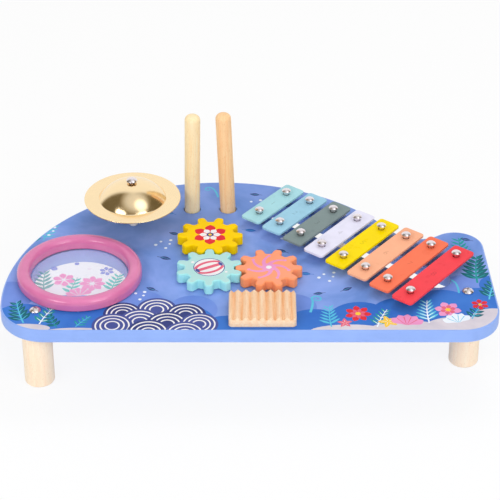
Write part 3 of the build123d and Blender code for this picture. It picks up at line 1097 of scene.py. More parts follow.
@dataclass(frozen=True)
class Ball(Figure):
    """A striped play ball.

    Attributes:
        cap: The ink of the caps and the rim.
    """

    cap: Ink = Ink.DUSK

    def motifs(self) -> list[Motif]:
        """The ball, three bowed stripes and two caps.

        Returns:
            The motifs.
        """
        drawn = [self.spot.motif(round_shape(1.06, 1.06), self.cap)]
        drawn.append(self.spot.motif(round_shape(), self.ink))
        for side, width in ((-0.27, 0.13), (0.0, 0.18), (0.27, 0.13)):
            path = []
            for i in range(13):
                up = -0.46 + 0.92 * i / 12
                path.append((side * 2.2 * sqrt(max(0.0, 0.25 - up * up)), up))
            drawn.append(self.spot.motif(band_shape(path, width * 0.8, width * 0.8), self.line))
        for up in (-0.43, 0.43):
            drawn.append(self.spot.motif(round_shape(0.24, 0.12, up), self.cap))
        return drawn


@dataclass(frozen=True)
class Fan(Figure):
    """A ribbed fan, like an open shell."""

    def motifs(self) -> list[Motif]:
        """The lobes side by side, then the ribs over them.

        Returns:
            The motifs.
        """
        lobes = self.spot.rays((-56, 56, -28, 28, 0), 1.0, leaf_shape(0.5, 1.9), self.ink)
        rib = band_shape([(0, 0.1), (0, 1)], 0.03, 0.07)
        return lobes + self.spot.rays((-42, -14, 14, 42), 0.78, rib, self.line)


@dataclass(frozen=True)
class Spark(Figure):
    """A star with rounded arms."""

    def motifs(self) -> list[Motif]:
        """Five arms with a line on each.

        Returns:
            The motifs.
        """
        arms = self.spot.rays(around(5), 0.56, leaf_shape(0.52, 0.75), self.ink)
        ridge = band_shape([(0, 0.2), (0, 0.95)], 0.07, 0.03)
        return arms + self.spot.rays(around(5), 0.4, ridge, self.line)


@dataclass(frozen=True)
class Drift(Figure):
    """A drifting leaf with a notch of light along it."""

    def motifs(self) -> list[Motif]:
        """The leaf, its stalk and its vein.

        Returns:
            The motifs.
        """
        stalk = band_shape([(0, -0.28), (0.02, -0.1), (0, 0.1)], 0.05, 0.06)
        vein = band_shape([(0, 0.12), (0, 0.8)], 0.05, 0.02)
        return [
            self.spot.motif(stalk, self.ink),
            self.spot.motif(leaf_shape(0.46, 0.85), self.ink),
            self.spot.motif(vein, self.line),
        ]


@dataclass(frozen=True)
class Tendril(Figure):
    """A stalk that ends in a curl.

    Attributes:
        hand: 1 to curl to the left, -1 to the right.
    """

    hand: int = 1

    def motifs(self) -> list[Motif]:
        """One tapering band.

        Returns:
            The motifs.
        """
        path = [(0.05 * sin(2.4 * share), 0.7 * share) for share in (i / 8 for i in range(8))]
        for i in range(19):
            share = i / 18
            radius = 0.17 * (1 - 0.78 * share)
            angle = radians(8 + 400 * share)
            path.append((self.hand * (-0.17 + radius * cos(angle)), 0.7 + radius * sin(angle)))
        return [self.spot.motif(band_shape(path, 0.075, 0.028), self.ink)]


@dataclass(frozen=True)
class Numeral(Figure):
    """A stamped numeral, whose line ink fills its closed bows.

    Attributes:
        number: The number, of one digit.
    """

    number: int = 1

    def motifs(self) -> list[Motif]:
        """The outline of the digit, then its bows.

        Returns:
            The motifs.
        """
        curve = bpy.data.curves.new("numeral", "FONT")
        curve.body = str(self.number)
        curve.align_x = "CENTER"
        curve.align_y = "CENTER"
        curve.fill_mode = "NONE"
        curve.resolution_u = 4
        outline = bmesh.new()
        outline.from_mesh(settled(new_object("numeral", curve)))
        bmesh.ops.remove_doubles(outline, verts=outline.verts, dist=JOIN)
        loops = by_area(boundary_loops(outline.edges))
        drawn = []
        for i, loop in enumerate(loops):
            drawn.append(self.spot.motif([vert.co.xy for vert in loop], self.line if i else self.ink))
        outline.free()
        return drawn


def boundary_loops(edges: Iterable[bmesh.types.BMEdge]) -> list[list[bmesh.types.BMVert]]:
    """Walks along edges that form closed loops.

    Args:
        edges: The edges, two at each of their ends.

    Returns:
        The vertices of each loop in order.
    """
    left = dict.fromkeys(edges)
    loops = []
    while left:
        edge, _ = left.popitem()
        loop = [edge.verts[0], edge.verts[1]]
        while True:
            onward = next((e for e in loop[-1].link_edges if e in left), None)
            if onward is None:
                break
            del left[onward]
            loop.append(onward.other_vert(loop[-1]))
        loops.append(loop[:-1] if loop[0] is loop[-1] else loop)
    return loops


def signed_area(points: Sequence[Vector]) -> float:
    """The area inside a flat loop, positive if it runs counterclockwise."""
    return sum((a.x * b.y - b.x * a.y) / 2 for a, b in zip(points, [*points[1:], points[0]]))


def by_area(loops: Iterable[list[bmesh.types.BMVert]]) -> list[list[bmesh.types.BMVert]]:
    """Sorts loops from the largest to the smallest."""
    return sorted(loops, key=lambda loop: -abs(signed_area([vert.co for vert in loop])))


class PrintedSolid:
    """A solid of the frame whose flat top is printed.

    The top is cut along the edges of the motifs, so that each ink has its own faces, and the
    walls below take the new corners, so that the solid stays closed.
    """

    def __init__(self, node: str, ground: Coat, walls: Coat) -> None:
        """Copies the solid and takes its top off.

        Args:
            node: The node's name.
            ground: What the top is painted with.
            walls: What everything else is painted with.
        """
        self.solid = joined_copy(node)
        self.inks = [walls, ground]
        self.crest = max(vert.co.z for vert in self.solid.verts)
        for face in self.solid.faces:
            face.material_index = 0
        top = {face for face in self.solid.faces if self.is_top(face)}
        sides = self.solid.edges
        self.rim = [edge for edge in sides if len(top.intersection(edge.link_faces)) == 1]
        self.loops = by_area(boundary_loops(self.rim))
        bmesh.ops.delete(self.solid, geom=list(top), context="FACES")

    def print(self, figures: Iterable[Figure], middle: Vector = Vector()) -> bpy.types.Mesh:
        """Prints figures on the top, which ends the work on the solid.

        Args:
            figures: The figures, from the lowest to the uppermost.
            middle: The place that their spots are given from, in millimetres.

        Returns:
            The finished mesh with one material for each ink.
        """
        motifs = [motif for figure in figures for motif in figure.motifs()]
        corners = [vert for loop in self.loops for vert in loop]
        points = [vert.co.xy / MM for vert in corners]
        lengths = [len(loop) for loop in self.loops]
        for motif in motifs:
            lengths.append(len(motif.outline))
            points += [Vector(point) + middle.xy for point in motif.outline]
        areas = []
        start = 0
        for length in lengths:
            area = list(range(start, start + length))
            start += length
            areas.append(area if signed_area([points[i] for i in area]) > 0 else area[::-1])
        cut = delaunay_2d_cdt(points, [], areas, 1, CUT_TOLERANCE, True)
        net, _, triangles, sources, _, owners = cut
        printed = []
        for triangle, owner in zip(triangles, owners):
            if 0 in owner and not any(0 < area < len(self.loops) for area in owner):
                uppermost = max(owner) - len(self.loops)
                printed.append((triangle, motifs[uppermost].ink if uppermost >= 0 else self.inks[1]))
        verts = self.matched_verts(net, sources, corners, [triangle for triangle, _ in printed])
        for triangle, ink in printed:
            self.add_face([verts[i] for i in triangle], ink)
        mesh = smooth_mesh(self.solid)
        for ink in self.inks:
            mesh.materials.append(ink.material())
        return even_normals(mesh)

    def is_top(self, face: bmesh.types.BMFace) -> bool:
        """Whether a face lies level at the crest."""
        high = all(abs(vert.co.z - self.crest) < JOIN for vert in face.verts)
        return high and face.normal.z > LEVEL

    def matched_verts(self, net: Sequence[Vector], sources: Sequence[Sequence[int]],
                      corners: Sequence[bmesh.types.BMVert],
                      triangles: Sequence[Sequence[int]]) -> dict[int, bmesh.types.BMVert]:
        """Finds or adds the vertex of each point of the cut top.

        Args:
            net: The points in millimetres.
            sources: The given points that each one stands for.
            corners: The vertices of the top's rim, which are the first given points.
            triangles: The triangles of the top, as the numbers of their points.

        Returns:
            The vertex of each point that a triangle has.
        """
        verts = {}
        for i, ids in enumerate(sources):
            known = [corners[k] for k in ids if k < len(corners)]
            if known:
                verts[i] = known[0]
        sides = Counter(frozenset((t[k], t[k - 1])) for t in triangles for k in range(3))
        border = {i for side, count in sides.items() if count == 1 for i in side}
        for i in sorted({i for triangle in triangles for i in triangle} - set(verts)):
            place = Vector((net[i].x * MM, net[i].y * MM, self.crest))
            verts[i] = self.split(place) if i in border else self.solid.verts.new(place)
        return verts

    def split(self, place: Vector) -> bmesh.types.BMVert:
        """Adds a vertex to the edge of the rim that a place lies on.

        Args:
            place: The place in metres.

        Returns:
            The new vertex.
        """

        def gap(edge: bmesh.types.BMEdge) -> float:
            """The distance from the place to an edge.

            Args:
                edge: The edge.

            Returns:
                The distance in metres.
            """
            a, b = (vert.co for vert in edge.verts)
            share = (place - a).dot(b - a) / (b - a).length_squared
            return (a.lerp(b, min(1.0, max(0.0, share))) - place).length

        edge = min(self.rim, key=gap)
        self.rim.remove(edge)
        first = edge.verts[0]
        _, vert = bmesh.utils.edge_split(edge, first, (place - first.co).length / edge.calc_length())
        vert.co = place
        self.rim.extend(vert.link_edges)
        return vert

    def add_face(self, verts: Sequence[bmesh.types.BMVert], ink: Coat) -> None:
        """Adds one face of the top, pointing up.

        Args:
            verts: Its corners.
            ink: Its ink.
        """
        a, b, c = (vert.co for vert in verts)
        turn = (b.x - a.x) * (c.y - a.y) - (b.y - a.y) * (c.x - a.x)
        face = self.solid.faces.new(verts if turn > 0 else verts[::-1])
        if ink not in self.inks:
            self.inks.append(ink)
        face.material_index = self.inks.index(ink)


# ---- Geometry Nodes ----


class Recipe(Wiring):
    """A Geometry Nodes tree with named inputs."""

    def __init__(self, name: str) -> None:
        """Makes a tree that takes and gives geometry.

        Args:
            name: The tree's name.
        """
        super().__init__(bpy.data.node_groups.new(name, "GeometryNodeTree"))
        for way in ("INPUT", "OUTPUT"):
            self.tree.interface.new_socket("Geometry", in_out=way, socket_type="NodeSocketGeometry")
        self.start = self.node("NodeGroupInput")
        self.end = self.node("NodeGroupOutput")

    def entries(self, **kinds: str) -> list[Socket]:
        """Adds named inputs.

        Args:
            kinds: The kind of each, such as Float, Int, Object or Material, by its name with
                underscores for spaces.

        Returns:
            Their sockets inside the tree.
        """
        for name, kind in kinds.items():
            label = name.replace("_", " ").title()
            self.tree.interface.new_socket(label, in_out="INPUT", socket_type="NodeSocket" + kind)
        return list(self.start.outputs)[1:-1]

    def finish(self, shape: Source, material: Socket, **more: Source) -> None:
        """Puts a shape on each point and ends with Realize Instances and Set Material.

        Args:
            shape: The shape.
            material: The material's socket.
            more: What else goes into Instance on Points.
        """
        copies = self.node("GeometryNodeInstanceOnPoints", Points=self.start, Instance=shape, **more)
        real = self.node("GeometryNodeRealizeInstances", Geometry=copies)
        smooth = self.node("GeometryNodeSetShadeSmooth", Geometry=real)
        dressed = self.node("GeometryNodeSetMaterial", Geometry=smooth, Material=material)
        self.feed(self.end.inputs["Geometry"], dressed)

    def cook(self, places: Sequence[Vector], finish: Finish, lengths: dict[str, float],
             **values: float | bpy.types.ID) -> bpy.types.Mesh:
        """Runs the tree on points and gives a plain mesh.

        Args:
            places: The points in millimetres.
            finish: What goes into the input Finish.
            lengths: The inputs in millimetres, by their names with underscores for spaces.
            values: The other inputs, by the same kind of names.

        Returns:
            The plain mesh.
        """
        values["finish"] = finish.material()
        values.update((name, length * MM) for name, length in lengths.items())
        cloud = bpy.data.meshes.new("points")
        cloud.from_pydata([place * MM for place in places], [], [])
        host = new_object("points", cloud)
        modifier = host.modifiers.new(self.tree.name, "NODES")
        modifier.node_group = self.tree
        for item in self.tree.interface.items_tree:
            key = item.name.replace(" ", "_").lower()
            if item.in_out == "INPUT" and key in values:
                modifier[item.identifier] = values[key]
        mesh = settled(host)
        mesh.set_sharp_from_angle(angle=SHARP)
        return even_normals(mesh)


@cache
def fastener_recipe() -> Recipe:
    """Copies of one fastener on points, each turned by chance about its own axis.

    Returns:
        The tree, with the inputs Fastener, Turn Spread, Turn Seed and Finish.
    """
    recipe = Recipe("fasteners_on_points")
    kinds = {"fastener": "Object", "turn_spread": "Float", "turn_seed": "Int", "finish": "Material"}
    fastener, spread, seed, material = recipe.entries(**kinds)
    single = recipe.node("GeometryNodeObjectInfo", {"transform_space": "ORIGINAL"}, Object=fastener)
    draw = {"Min_001": 0.0, "Max_001": spread, "Seed": seed}
    turn = recipe.node("FunctionNodeRandomValue", {"data_type": "FLOAT"}, **draw)
    chosen = next(socket for socket in turn.outputs if socket.identifier == "Value_001")
    angles = recipe.node("ShaderNodeCombineXYZ", Z=chosen)
    recipe.finish(single.outputs["Geometry"], material, Rotation=angles)
    return recipe


@cache
def washer_recipe() -> Recipe:
    """Washers or cushions on points, with softened edges.

    Returns:
        The tree, with the inputs Outer Radius, Bore Radius, Height, Edge Round and Finish.
    """
    recipe = Recipe("washers_on_points")
    sizes = dict.fromkeys(("outer_radius", "bore_radius", "height", "edge_round"), "Float")
    outer, bore, height, soft, material = recipe.entries(**sizes, finish="Material")
    middle = recipe.math("MULTIPLY", recipe.math("ADD", outer, bore), 0.5)
    wall = recipe.math("SUBTRACT", outer, bore)
    path = recipe.node("GeometryNodeCurvePrimitiveCircle", Resolution=48, Radius=middle)
    upright = recipe.node("GeometryNodeSetCurveNormal", {"mode": "Z_UP"}, Curve=path)
    section = recipe.node("GeometryNodeCurvePrimitiveQuadrilateral", Width=wall, Height=height)
    corners = {"Curve": section, "Count": 4, "Radius": soft}
    softened = recipe.node("GeometryNodeFilletCurve", {"mode": "POLY"}, **corners)
    ring = recipe.node("GeometryNodeCurveToMesh", Curve=upright, Profile_Curve=softened)
    rise = recipe.node("ShaderNodeCombineXYZ", Z=recipe.math("MULTIPLY", height, 0.5))
    raised = recipe.node("GeometryNodeTransform", Geometry=ring, Translation=rise)
    recipe.finish(raised, material)
    return recipe


@cache
def ribbed_block_recipe(grooves: int, steps: int) -> Recipe:
    """A block with V grooves from front to back and rounded corners and ends.

    Args:
        grooves: How many grooves it has.
        steps: How many columns a groove is made of.

    Returns:
        The tree, with the inputs Width, Depth, Height, Groove Depth, End Land, Corner Round, Rib
        Round and Finish. The block stands on the first point.
    """
    recipe = Recipe("ribbed_block")
    math = recipe.math
    names = ("width", "depth", "height", "groove_depth", "end_land", "corner_round", "rib_round")
    sizes = dict.fromkeys(names, "Float")
    inputs = recipe.entries(**sizes, finish="Material")
    width, depth, height, cut, land, corner, rib, material = inputs

    def held(value: Source, limit: Source) -> Source:
        """Keeps a value between a limit below and above zero."""
        return math("MINIMUM", math("MAXIMUM", value, math("MULTIPLY", limit, -1.0)), limit)

    lands = 6
    rows = 48
    layers = 14
    crest_ease = 0.04
    shoulder_share = 0.8
    columns = grooves * steps + 2 * lands
    counts = {"Vertices_X": columns + 1, "Vertices_Y": rows + 1, "Vertices_Z": layers + 1}
    cube = recipe.node("GeometryNodeMeshCube", Size=(1.0, 1.0, 1.0), **counts)
    position = recipe.node("GeometryNodeInputPosition")
    parts = recipe.node("ShaderNodeSeparateXYZ", Vector=position).outputs
    inside = math("MULTIPLY_ADD", parts["X"], columns, columns / 2 - lands)
    run = math("MINIMUM", math("MAXIMUM", inside, 0.0), float(grooves * steps))
    pitch = math("DIVIDE", math("MULTIPLY_ADD", land, -2.0, width), float(grooves))
    turn = math("DIVIDE", run, float(steps))
    beyond = math("MULTIPLY", math("SUBTRACT", inside, run), math("DIVIDE", land, float(lands)))
    x = math("MULTIPLY_ADD", math("SUBTRACT", turn, grooves / 2), pitch, beyond)
    y = math("MULTIPLY", parts["Y"], depth)
    slope = math("MULTIPLY", math("PINGPONG", turn, 0.5), 2.0)
    crest = math("MULTIPLY_ADD", slope, -crest_ease, 1 + crest_ease)
    eased = math("SMOOTH_MIN", slope, crest, rib)
    level = math("ADD", parts["Z"], 0.5)
    core_x = math("MULTIPLY_ADD", width, 0.5, math("MULTIPLY", corner, -1.0))
    core_y = math("MULTIPLY_ADD", depth, 0.5, math("MULTIPLY", corner, -1.0))
    inner_x = held(x, core_x)
    inner_y = held(y, core_y)
    out_x = math("SUBTRACT", x, inner_x)
    out_y = math("SUBTRACT", y, inner_y)
    larger = math("MAXIMUM", math("ABSOLUTE", out_x), math("ABSOLUTE", out_y))
    reach = math("SQRT", math("MULTIPLY_ADD", out_x, out_x, math("MULTIPLY", out_y, out_y)))
    pull = math("DIVIDE", larger, math("MAXIMUM", reach, 1e-7))
    beside = math("POWER", math("DIVIDE", out_x, corner), 2.0)
    fall = math("SQRT", math("MAXIMUM", math("SUBTRACT", 1.0, beside), 0.0))
    most = math("MULTIPLY", corner, shoulder_share)
    shoulder = math("MULTIPLY", math("SUBTRACT", 1.0, fall), most)
    deepest = math("MAXIMUM", math("MULTIPLY", eased, cut), shoulder)
    drop = math("MULTIPLY", deepest, math("POWER", level, 3.0))
    place = recipe.node(
        "ShaderNodeCombineXYZ",
        X=math("MULTIPLY_ADD", out_x, pull, inner_x),
        Y=math("MULTIPLY_ADD", out_y, pull, inner_y),
        Z=math("MULTIPLY_ADD", level, height, math("MULTIPLY", drop, -1.0)),
    )
    recipe.finish(recipe.node("GeometryNodeSetPosition", Geometry=cube, Position=place), material)
    return recipe


# ---- Fasteners and washers ----


@dataclass(frozen=True)
class Fastener(ABC):
    """A turned fastener, drawn with the middle of its head's top at the origin.

    Attributes:
        head_radius: The head's radius.
        head_height: The head's height.
        shank_radius: The shank's radius.
        recess: The width of the cross recess, or 0 for a pin.
        recess_depth: How deep the recess is.
        looks_down: Whether the head is at the lower end.
        segments: How many steps its roundness has.
    """

    head_radius: float
    head_height: float
    shank_radius: float
    recess: float = 0.0
    recess_depth: float = 0.0
    looks_down: bool = False
    segments: int = 48

    @abstractmethod
    def section(self, length: float) -> list[Point]:
        """Its half section from the shank's tip to the middle of the head's top.

        Args:
            length: The whole length.

        Returns:
            The points.
        """

    def model(self, length: float) -> bpy.types.Object:
        """One fastener to be copied by the recipe.

        Args:
            length: The whole length.

        Returns:
            The object.
        """
        solid = turned_solid(self.section(length), Vector(), self.segments)
        model = new_object("fastener", smooth_mesh(solid))
        if self.recess:
            cutter = cross_cutter(self.recess, self.recess_depth)
            cut = model.modifiers.new("recess", "BOOLEAN")
            cut.object = cutter
            cut.solver = "EXACT"
            model = new_object("fastener", settled(model))
            bpy.data.objects.remove(cutter)
        if self.looks_down:
            model.data.transform(Matrix.Rotation(pi, 4, "X"))
        return model

    def mesh(self, node: str, seed: int, finish: Finish) -> bpy.types.Mesh:
        """Puts a fastener wherever a node has one.

        Args:
            node: The fasteners' node.
            seed: The seed of their turns.
            finish: Their finish.

        Returns:
            One plain mesh.
        """
        boxes = seats_of_each(node)
        model = self.model(boxes[0].size.z)
        places = [box.foot if self.looks_down else box.crown for box in boxes]
        values = {"fastener": model, "turn_spread": tau, "turn_seed": seed}
        mesh = fastener_recipe().cook(places, finish, {}, **values)
        bpy.data.objects.remove(model)
        return mesh


@dataclass(frozen=True)
class RoundHead(Fastener):
    """A fastener with a domed head and a plain shank."""

    def section(self, length: float) -> list[Point]:
        """Its half section, with a dome over a short upright rim.

        Args:
            length: The whole length.

        Returns:
            The points.
        """
        tip = self.shank_radius * 0.55
        taper = self.shank_radius * 0.6
        under = self.head_radius * 0.9
        rim = self.head_height / 4
        chamfer = rim * 0.35
        rise = self.head_height - rim
        sphere = (self.head_radius ** 2 + rise ** 2) / (2 * rise)
        side = degrees(atan2(sphere - rise, self.head_radius))
        return [
            (0, -length),
            (tip, -length),
            (self.shank_radius, taper - length),
            (self.shank_radius, -self.head_height),
            (under, -self.head_height),
            (self.head_radius, chamfer - self.head_height),
            *arc((0, -sphere), sphere, side, 90, 14)[:-1],
            (0, 0),
        ]


@dataclass(frozen=True)
class FlatHead(Fastener):
    """A countersunk screw with a pointed shank.

    Attributes:
        bevel: The bevel round the flat face.
        tip: The length of the point.
    """

    bevel: float = 0.12
    tip: float = 2.6

    def section(self, length: float) -> list[Point]:
        """Its half section, with a cone under the flat face.

        Args:
            length: The whole length.

        Returns:
            The points.
        """
        return [
            (0, -length),
            (self.shank_radius, self.tip - length),
            (self.shank_radius, -self.head_height),
            (self.head_radius, -self.bevel),
            (self.head_radius - self.bevel, 0),
            (0, 0),
        ]


BASE_SCREW = FlatHead(3.5, 1.75, 1.75, 3.4, 0.7, looks_down=True, segments=40)


def cross_cutter(width: float, depth: float) -> bpy.types.Object:
    """A tapered cross that cuts a screwdriver's recess from the origin down.

    Args:
        width: The width of the recess at its top.
        depth: Its depth.

    Returns:
        The cutter.
    """
    solid = bmesh.new()
    rings = []
    for height, reach, half in ((-depth, 0.26, 0.08), (0, 0.5, 0.11), (1.0, 0.62, 0.13)):
        ring = []
        for turn in range(4):
            for x, y in ((reach, -half), (reach, half), (half, half)):
                corner = Vector((x * width, y * width, height)) * MM
                ring.append(solid.verts.new(Matrix.Rotation(turn * pi / 2, 3, "Z") @ corner))
        rings.append(ring)
    solid.faces.new(rings[0][::-1])
    solid.faces.new(rings[-1])
    for lower, upper in zip(rings, rings[1:]):
        for i in range(12):
            solid.faces.new((lower[i], lower[(i + 1) % 12], upper[(i + 1) % 12], upper[i]))
    bmesh.ops.recalc_face_normals(solid, faces=solid.faces)
    mesh = bpy.data.meshes.new("cross_cutter")
    solid.to_mesh(mesh)
    solid.free()
    return new_object("cross_cutter", mesh)


@dataclass(frozen=True)
class Washer:
    """A washer or cushion round a pin.

    Attributes:
        outer: Its radius.
        bore: The radius of its hole.
        soft: The rounding of its edges.
    """

    outer: float
    bore: float
    soft: float

    def mesh(self, node: str, finish: Finish) -> bpy.types.Mesh:
        """Builds a washer wherever a node has one.

        Args:
            node: The node.
            finish: The finish.

        Returns:
            One plain mesh.
        """
        boxes = seats_of_each(node)
        lengths = {
            "outer_radius": self.outer,
            "bore_radius": self.bore,
            "height": boxes[0].size.z,
            "edge_round": self.soft,
        }
        return washer_recipe().cook([box.foot for box in boxes], finish, lengths)


# ---- The table and what stands on it ----


class SubAssembly(ABC):
    """A group of pieces that is built and dressed together."""

    @abstractmethod
    def build(self) -> None:
        """Builds and dresses its pieces."""


@dataclass
class Board(SubAssembly):
    """The shaped board with its printed top.

    Attributes:
        pebble: The size of the pebbles in the middle of a cluster.
        pebble_step: The angle from each pebble of a cluster to the next, in degrees.
    """

    pebble: float = 1.6
    pebble_step: float = 137.5

    def build(self) -> None:
        """Prints the top and paints the edge."""
        sea = self.water() + self.shore() + self.waves()
        figures = sea + self.plants() + self.garden() + self.scatter()
        mesh = PrintedSolid("table_board", Ink.WATER, Ink.EDGE).print(figures)
        add_piece("table_board", mesh, "table")

    def water(self) -> list[Figure]:
        """The deep water that rolls along the front and up the right side.

        Returns:
            The figures.
        """
        mist = (
            (-214, -70, 44), (-96, -86, 46), (-50, -92, 44),
            (40, -88, 40), (196, -62, 50), (150, -84, 44),
        )
        deep = (
            (-200, -112, 58), (-166, -116, 50), (-128, -112, 56), (-94, -122, 62), (-58, -114, 58),
            (-20, -126, 50), (22, -128, 46), (58, -122, 62), (98, -110, 60), (136, -104, 62),
            (172, -92, 62), (206, -86, 56), (216, -112, 50), (224, -54, 34),
        )
        rolls = [Patch(Spot(x, y, size), Ink.MIST) for x, y, size in mist]
        return rolls + [Patch(Spot(x, y, size), Ink.DEEP) for x, y, size in deep]

    def shore(self) -> list[Figure]:
        """Pale sand along the front right and at the front left corner.

        Returns:
            The figures.
        """
        dunes = (
            (88, -127, 74, 0.34), (140, -124, 72, 0.42), (186, -119, 66, 0.5), (216, -104, 40, 0.7),
            (-196, -120, 44, 0.3), (-150, -126, 60, 0.22),
        )
        return [Patch(Spot(x, y, size), Ink.SAND, flat=flat) for x, y, size, flat in dunes]

    def waves(self) -> list[Figure]:
        """Traditional scale waves in front of the drum and the gears.

        Returns:
            The figures.
        """
        rows = (
            (-82, -92, 36, Ink.DUSK), (-112, -98, 34, Ink.NAVY), (-56, -100, 36, Ink.NAVY),
            (-96, -110, 38, Ink.DUSK), (-72, -114, 38, Ink.NAVY), (-120, -116, 36, Ink.DUSK),
            (-44, -114, 34, Ink.DUSK), (-88, -126, 38, Ink.NAVY), (-56, -128, 36, Ink.DUSK),
        )
        return [Scallop(Spot(x, y, size), ink) for x, y, size, ink in rows]

    def plants(self) -> list[Figure]:
        """Leafy stems at the corners and up the right side.

        Returns:
            The figures.
        """
        return [
            Sprig(Spot(-198, -112, 34, 22), Ink.PINE, Ink.SKY, pairs=4),
            Sprig(Spot(-184, -114, 28, -16), Ink.TEAL, Ink.WHITE, pairs=3),
            Sprig(Spot(-168, -119, 22, 30), Ink.PINE, Ink.TEAL, pairs=3),
            Sprig(Spot(-152, -118, 20, -30), Ink.TEAL, Ink.SKY, pairs=3, width=0.3),
            Sprig(Spot(-206, 6, 50, 4), Ink.TEAL, Ink.TEAL, 6, 0.24, 0.36, 0.2),
            Sprig(Spot(-192, 20, 34, -14), Ink.SKY, Ink.SKY, pairs=4, width=0.22, reach=0.34),
            Sprig(Spot(206, -50, 44, 2), Ink.PINE, Ink.TEAL, pairs=5, width=0.36),
            Sprig(Spot(214, -76, 34, -10), Ink.PINE, Ink.SKY, pairs=4),
            Sprig(Spot(199, -16, 40, 12), Ink.TEAL, Ink.TEAL, pairs=5, width=0.26, reach=0.38),
            Tendril(Spot(188, -66, 26, 10), Ink.SKY),
            Tendril(Spot(54, -96, 30, -4), Ink.SKY, hand=-1),
            Tendril(Spot(-30, 96, 24, 20), Ink.SKY),
            Tendril(Spot(-124, 100, 20, -30), Ink.TEAL, hand=-1),
        ]

    def garden(self) -> list[Figure]:
        """Flowers, fans and stars on the sand.

        Returns:
            The figures.
        """
        return [
            Sprig(Spot(72, -118, 32, 8), Ink.SKY, Ink.SKY, pairs=5, width=0.22, reach=0.4),
            Blossom(Spot(96, -98, 24, 8), Ink.RED, Ink.SUN, 7, 0.5, Ink.ROSE),
            Sprig(Spot(112, -118, 28, -14), Ink.TEAL, Ink.WHITE, pairs=4, width=0.3),
            Spark(Spot(122, -110, 17, 20), Ink.SUN, Ink.CREAM),
            Fan(Spot(138, -116, 17, -6), Ink.PINK, Ink.ROSE),
            Sprig(Spot(158, -112, 34, 6), Ink.SKY, Ink.WHITE, pairs=5, width=0.24, reach=0.42),
            Blossom(Spot(176, -92, 24, 20), Ink.PINK, Ink.SUN, 6, 0.62, Ink.ROSE),
            Sprig(Spot(196, -106, 26, -20), Ink.PINE, Ink.SKY, pairs=3),
            Fan(Spot(184, -112, 15, 14), Ink.WHITE, Ink.SKY),
            Spark(Spot(84, -112, 13, 4), Ink.ROSE, Ink.CREAM),
            Blossom(Spot(205, -84, 16, 4), Ink.RED, Ink.SUN, 6, 0.6),
        ]

    def scatter(self) -> list[Figure]:
        """Small drifting leaves and clusters of pebbles in the open water.

        Returns:
            The figures.
        """
        leaves = (
            (-72, 66, 11, 60), (2, 70, 12, -70), (10, 100, 10, 80), (-92, 104, 11, -60),
            (-66, 30, 10, 70), (-82, -8, 11, -110), (56, -36, 11, 80), (84, -62, 10, -60),
            (34, 0, 10, 60), (-4, 38, 11, -100), (-160, 84, 10, 70), (-186, 52, 11, -60),
            (58, 84, 10, -80), (66, -66, 9, 100), (-84, -62, 10, 60), (-150, 68, 9, -70),
            (206, 20, 10, 70), (-40, 42, 9, 110),
        )
        drawn: list[Figure] = []
        for i, (x, y, size, turn) in enumerate(leaves):
            drawn.append(Drift(Spot(x, y, size, turn), Ink.NAVY if i % 3 else Ink.DEEP, Ink.SKY))
        clusters = (
            (-78, 14, 9, 5), (6, 84, 8, 4), (72, -40, 9, 5),
            (-188, 36, 8, 4), (-98, -70, 7, 4), (30, 30, 8, 4),
        )
        for x, y, reach, count in clusters:
            for i in range(count):
                angle = radians(self.pebble_step * i)
                share = sqrt((i + 1) / count)
                across, up = reach * share * cos(angle), reach * share * sin(angle)
                size = self.pebble + self.pebble * share
                drawn.append(Patch(Spot(x + across, y + up, size), Ink.WHITE))
        return drawn


@dataclass
class Legs(SubAssembly):
    """Four turned legs and the screws that hold them from above.

    Attributes:
        wood: The finish of the legs.
        screw: The screws.
        top_bevel: The bevel at a leg's top.
        foot_round: The rounding at its foot.
    """

    wood: Wood = Wood("leg_beech", (254, 238, 212), (252, 222, 192), (0, 0, 1), ring=4.4)
    screw: Fastener = RoundHead(5.1, 3.2, 2.2, 4.6, 2.24)
    top_bevel: float = 0.5
    foot_round: float = 2.0

    def build(self) -> None:
        """Turns the legs and puts a screw over each one."""
        for corner in ("front_left", "front_right", "back_left", "back_right"):
            self.build_leg("leg_" + corner)
        add_piece("leg_screws", self.screw.mesh("leg_screws", 11, NICKEL), "table")

    def build_leg(self, node: str) -> None:
        """Turns one leg with a rounded foot.

        Args:
            node: The leg's node.
        """
        place = seat(node)
        radius = place.size.x / 2
        height = place.size.z
        section = [
            (0, 0),
            *arc((radius - self.foot_round, self.foot_round), self.foot_round, -90, 0),
            (radius, height - self.top_bevel),
            (radius - self.top_bevel, height),
            (0, height),
        ]
        add_piece(node, turned_mesh(section, place.foot, self.wood), "table")


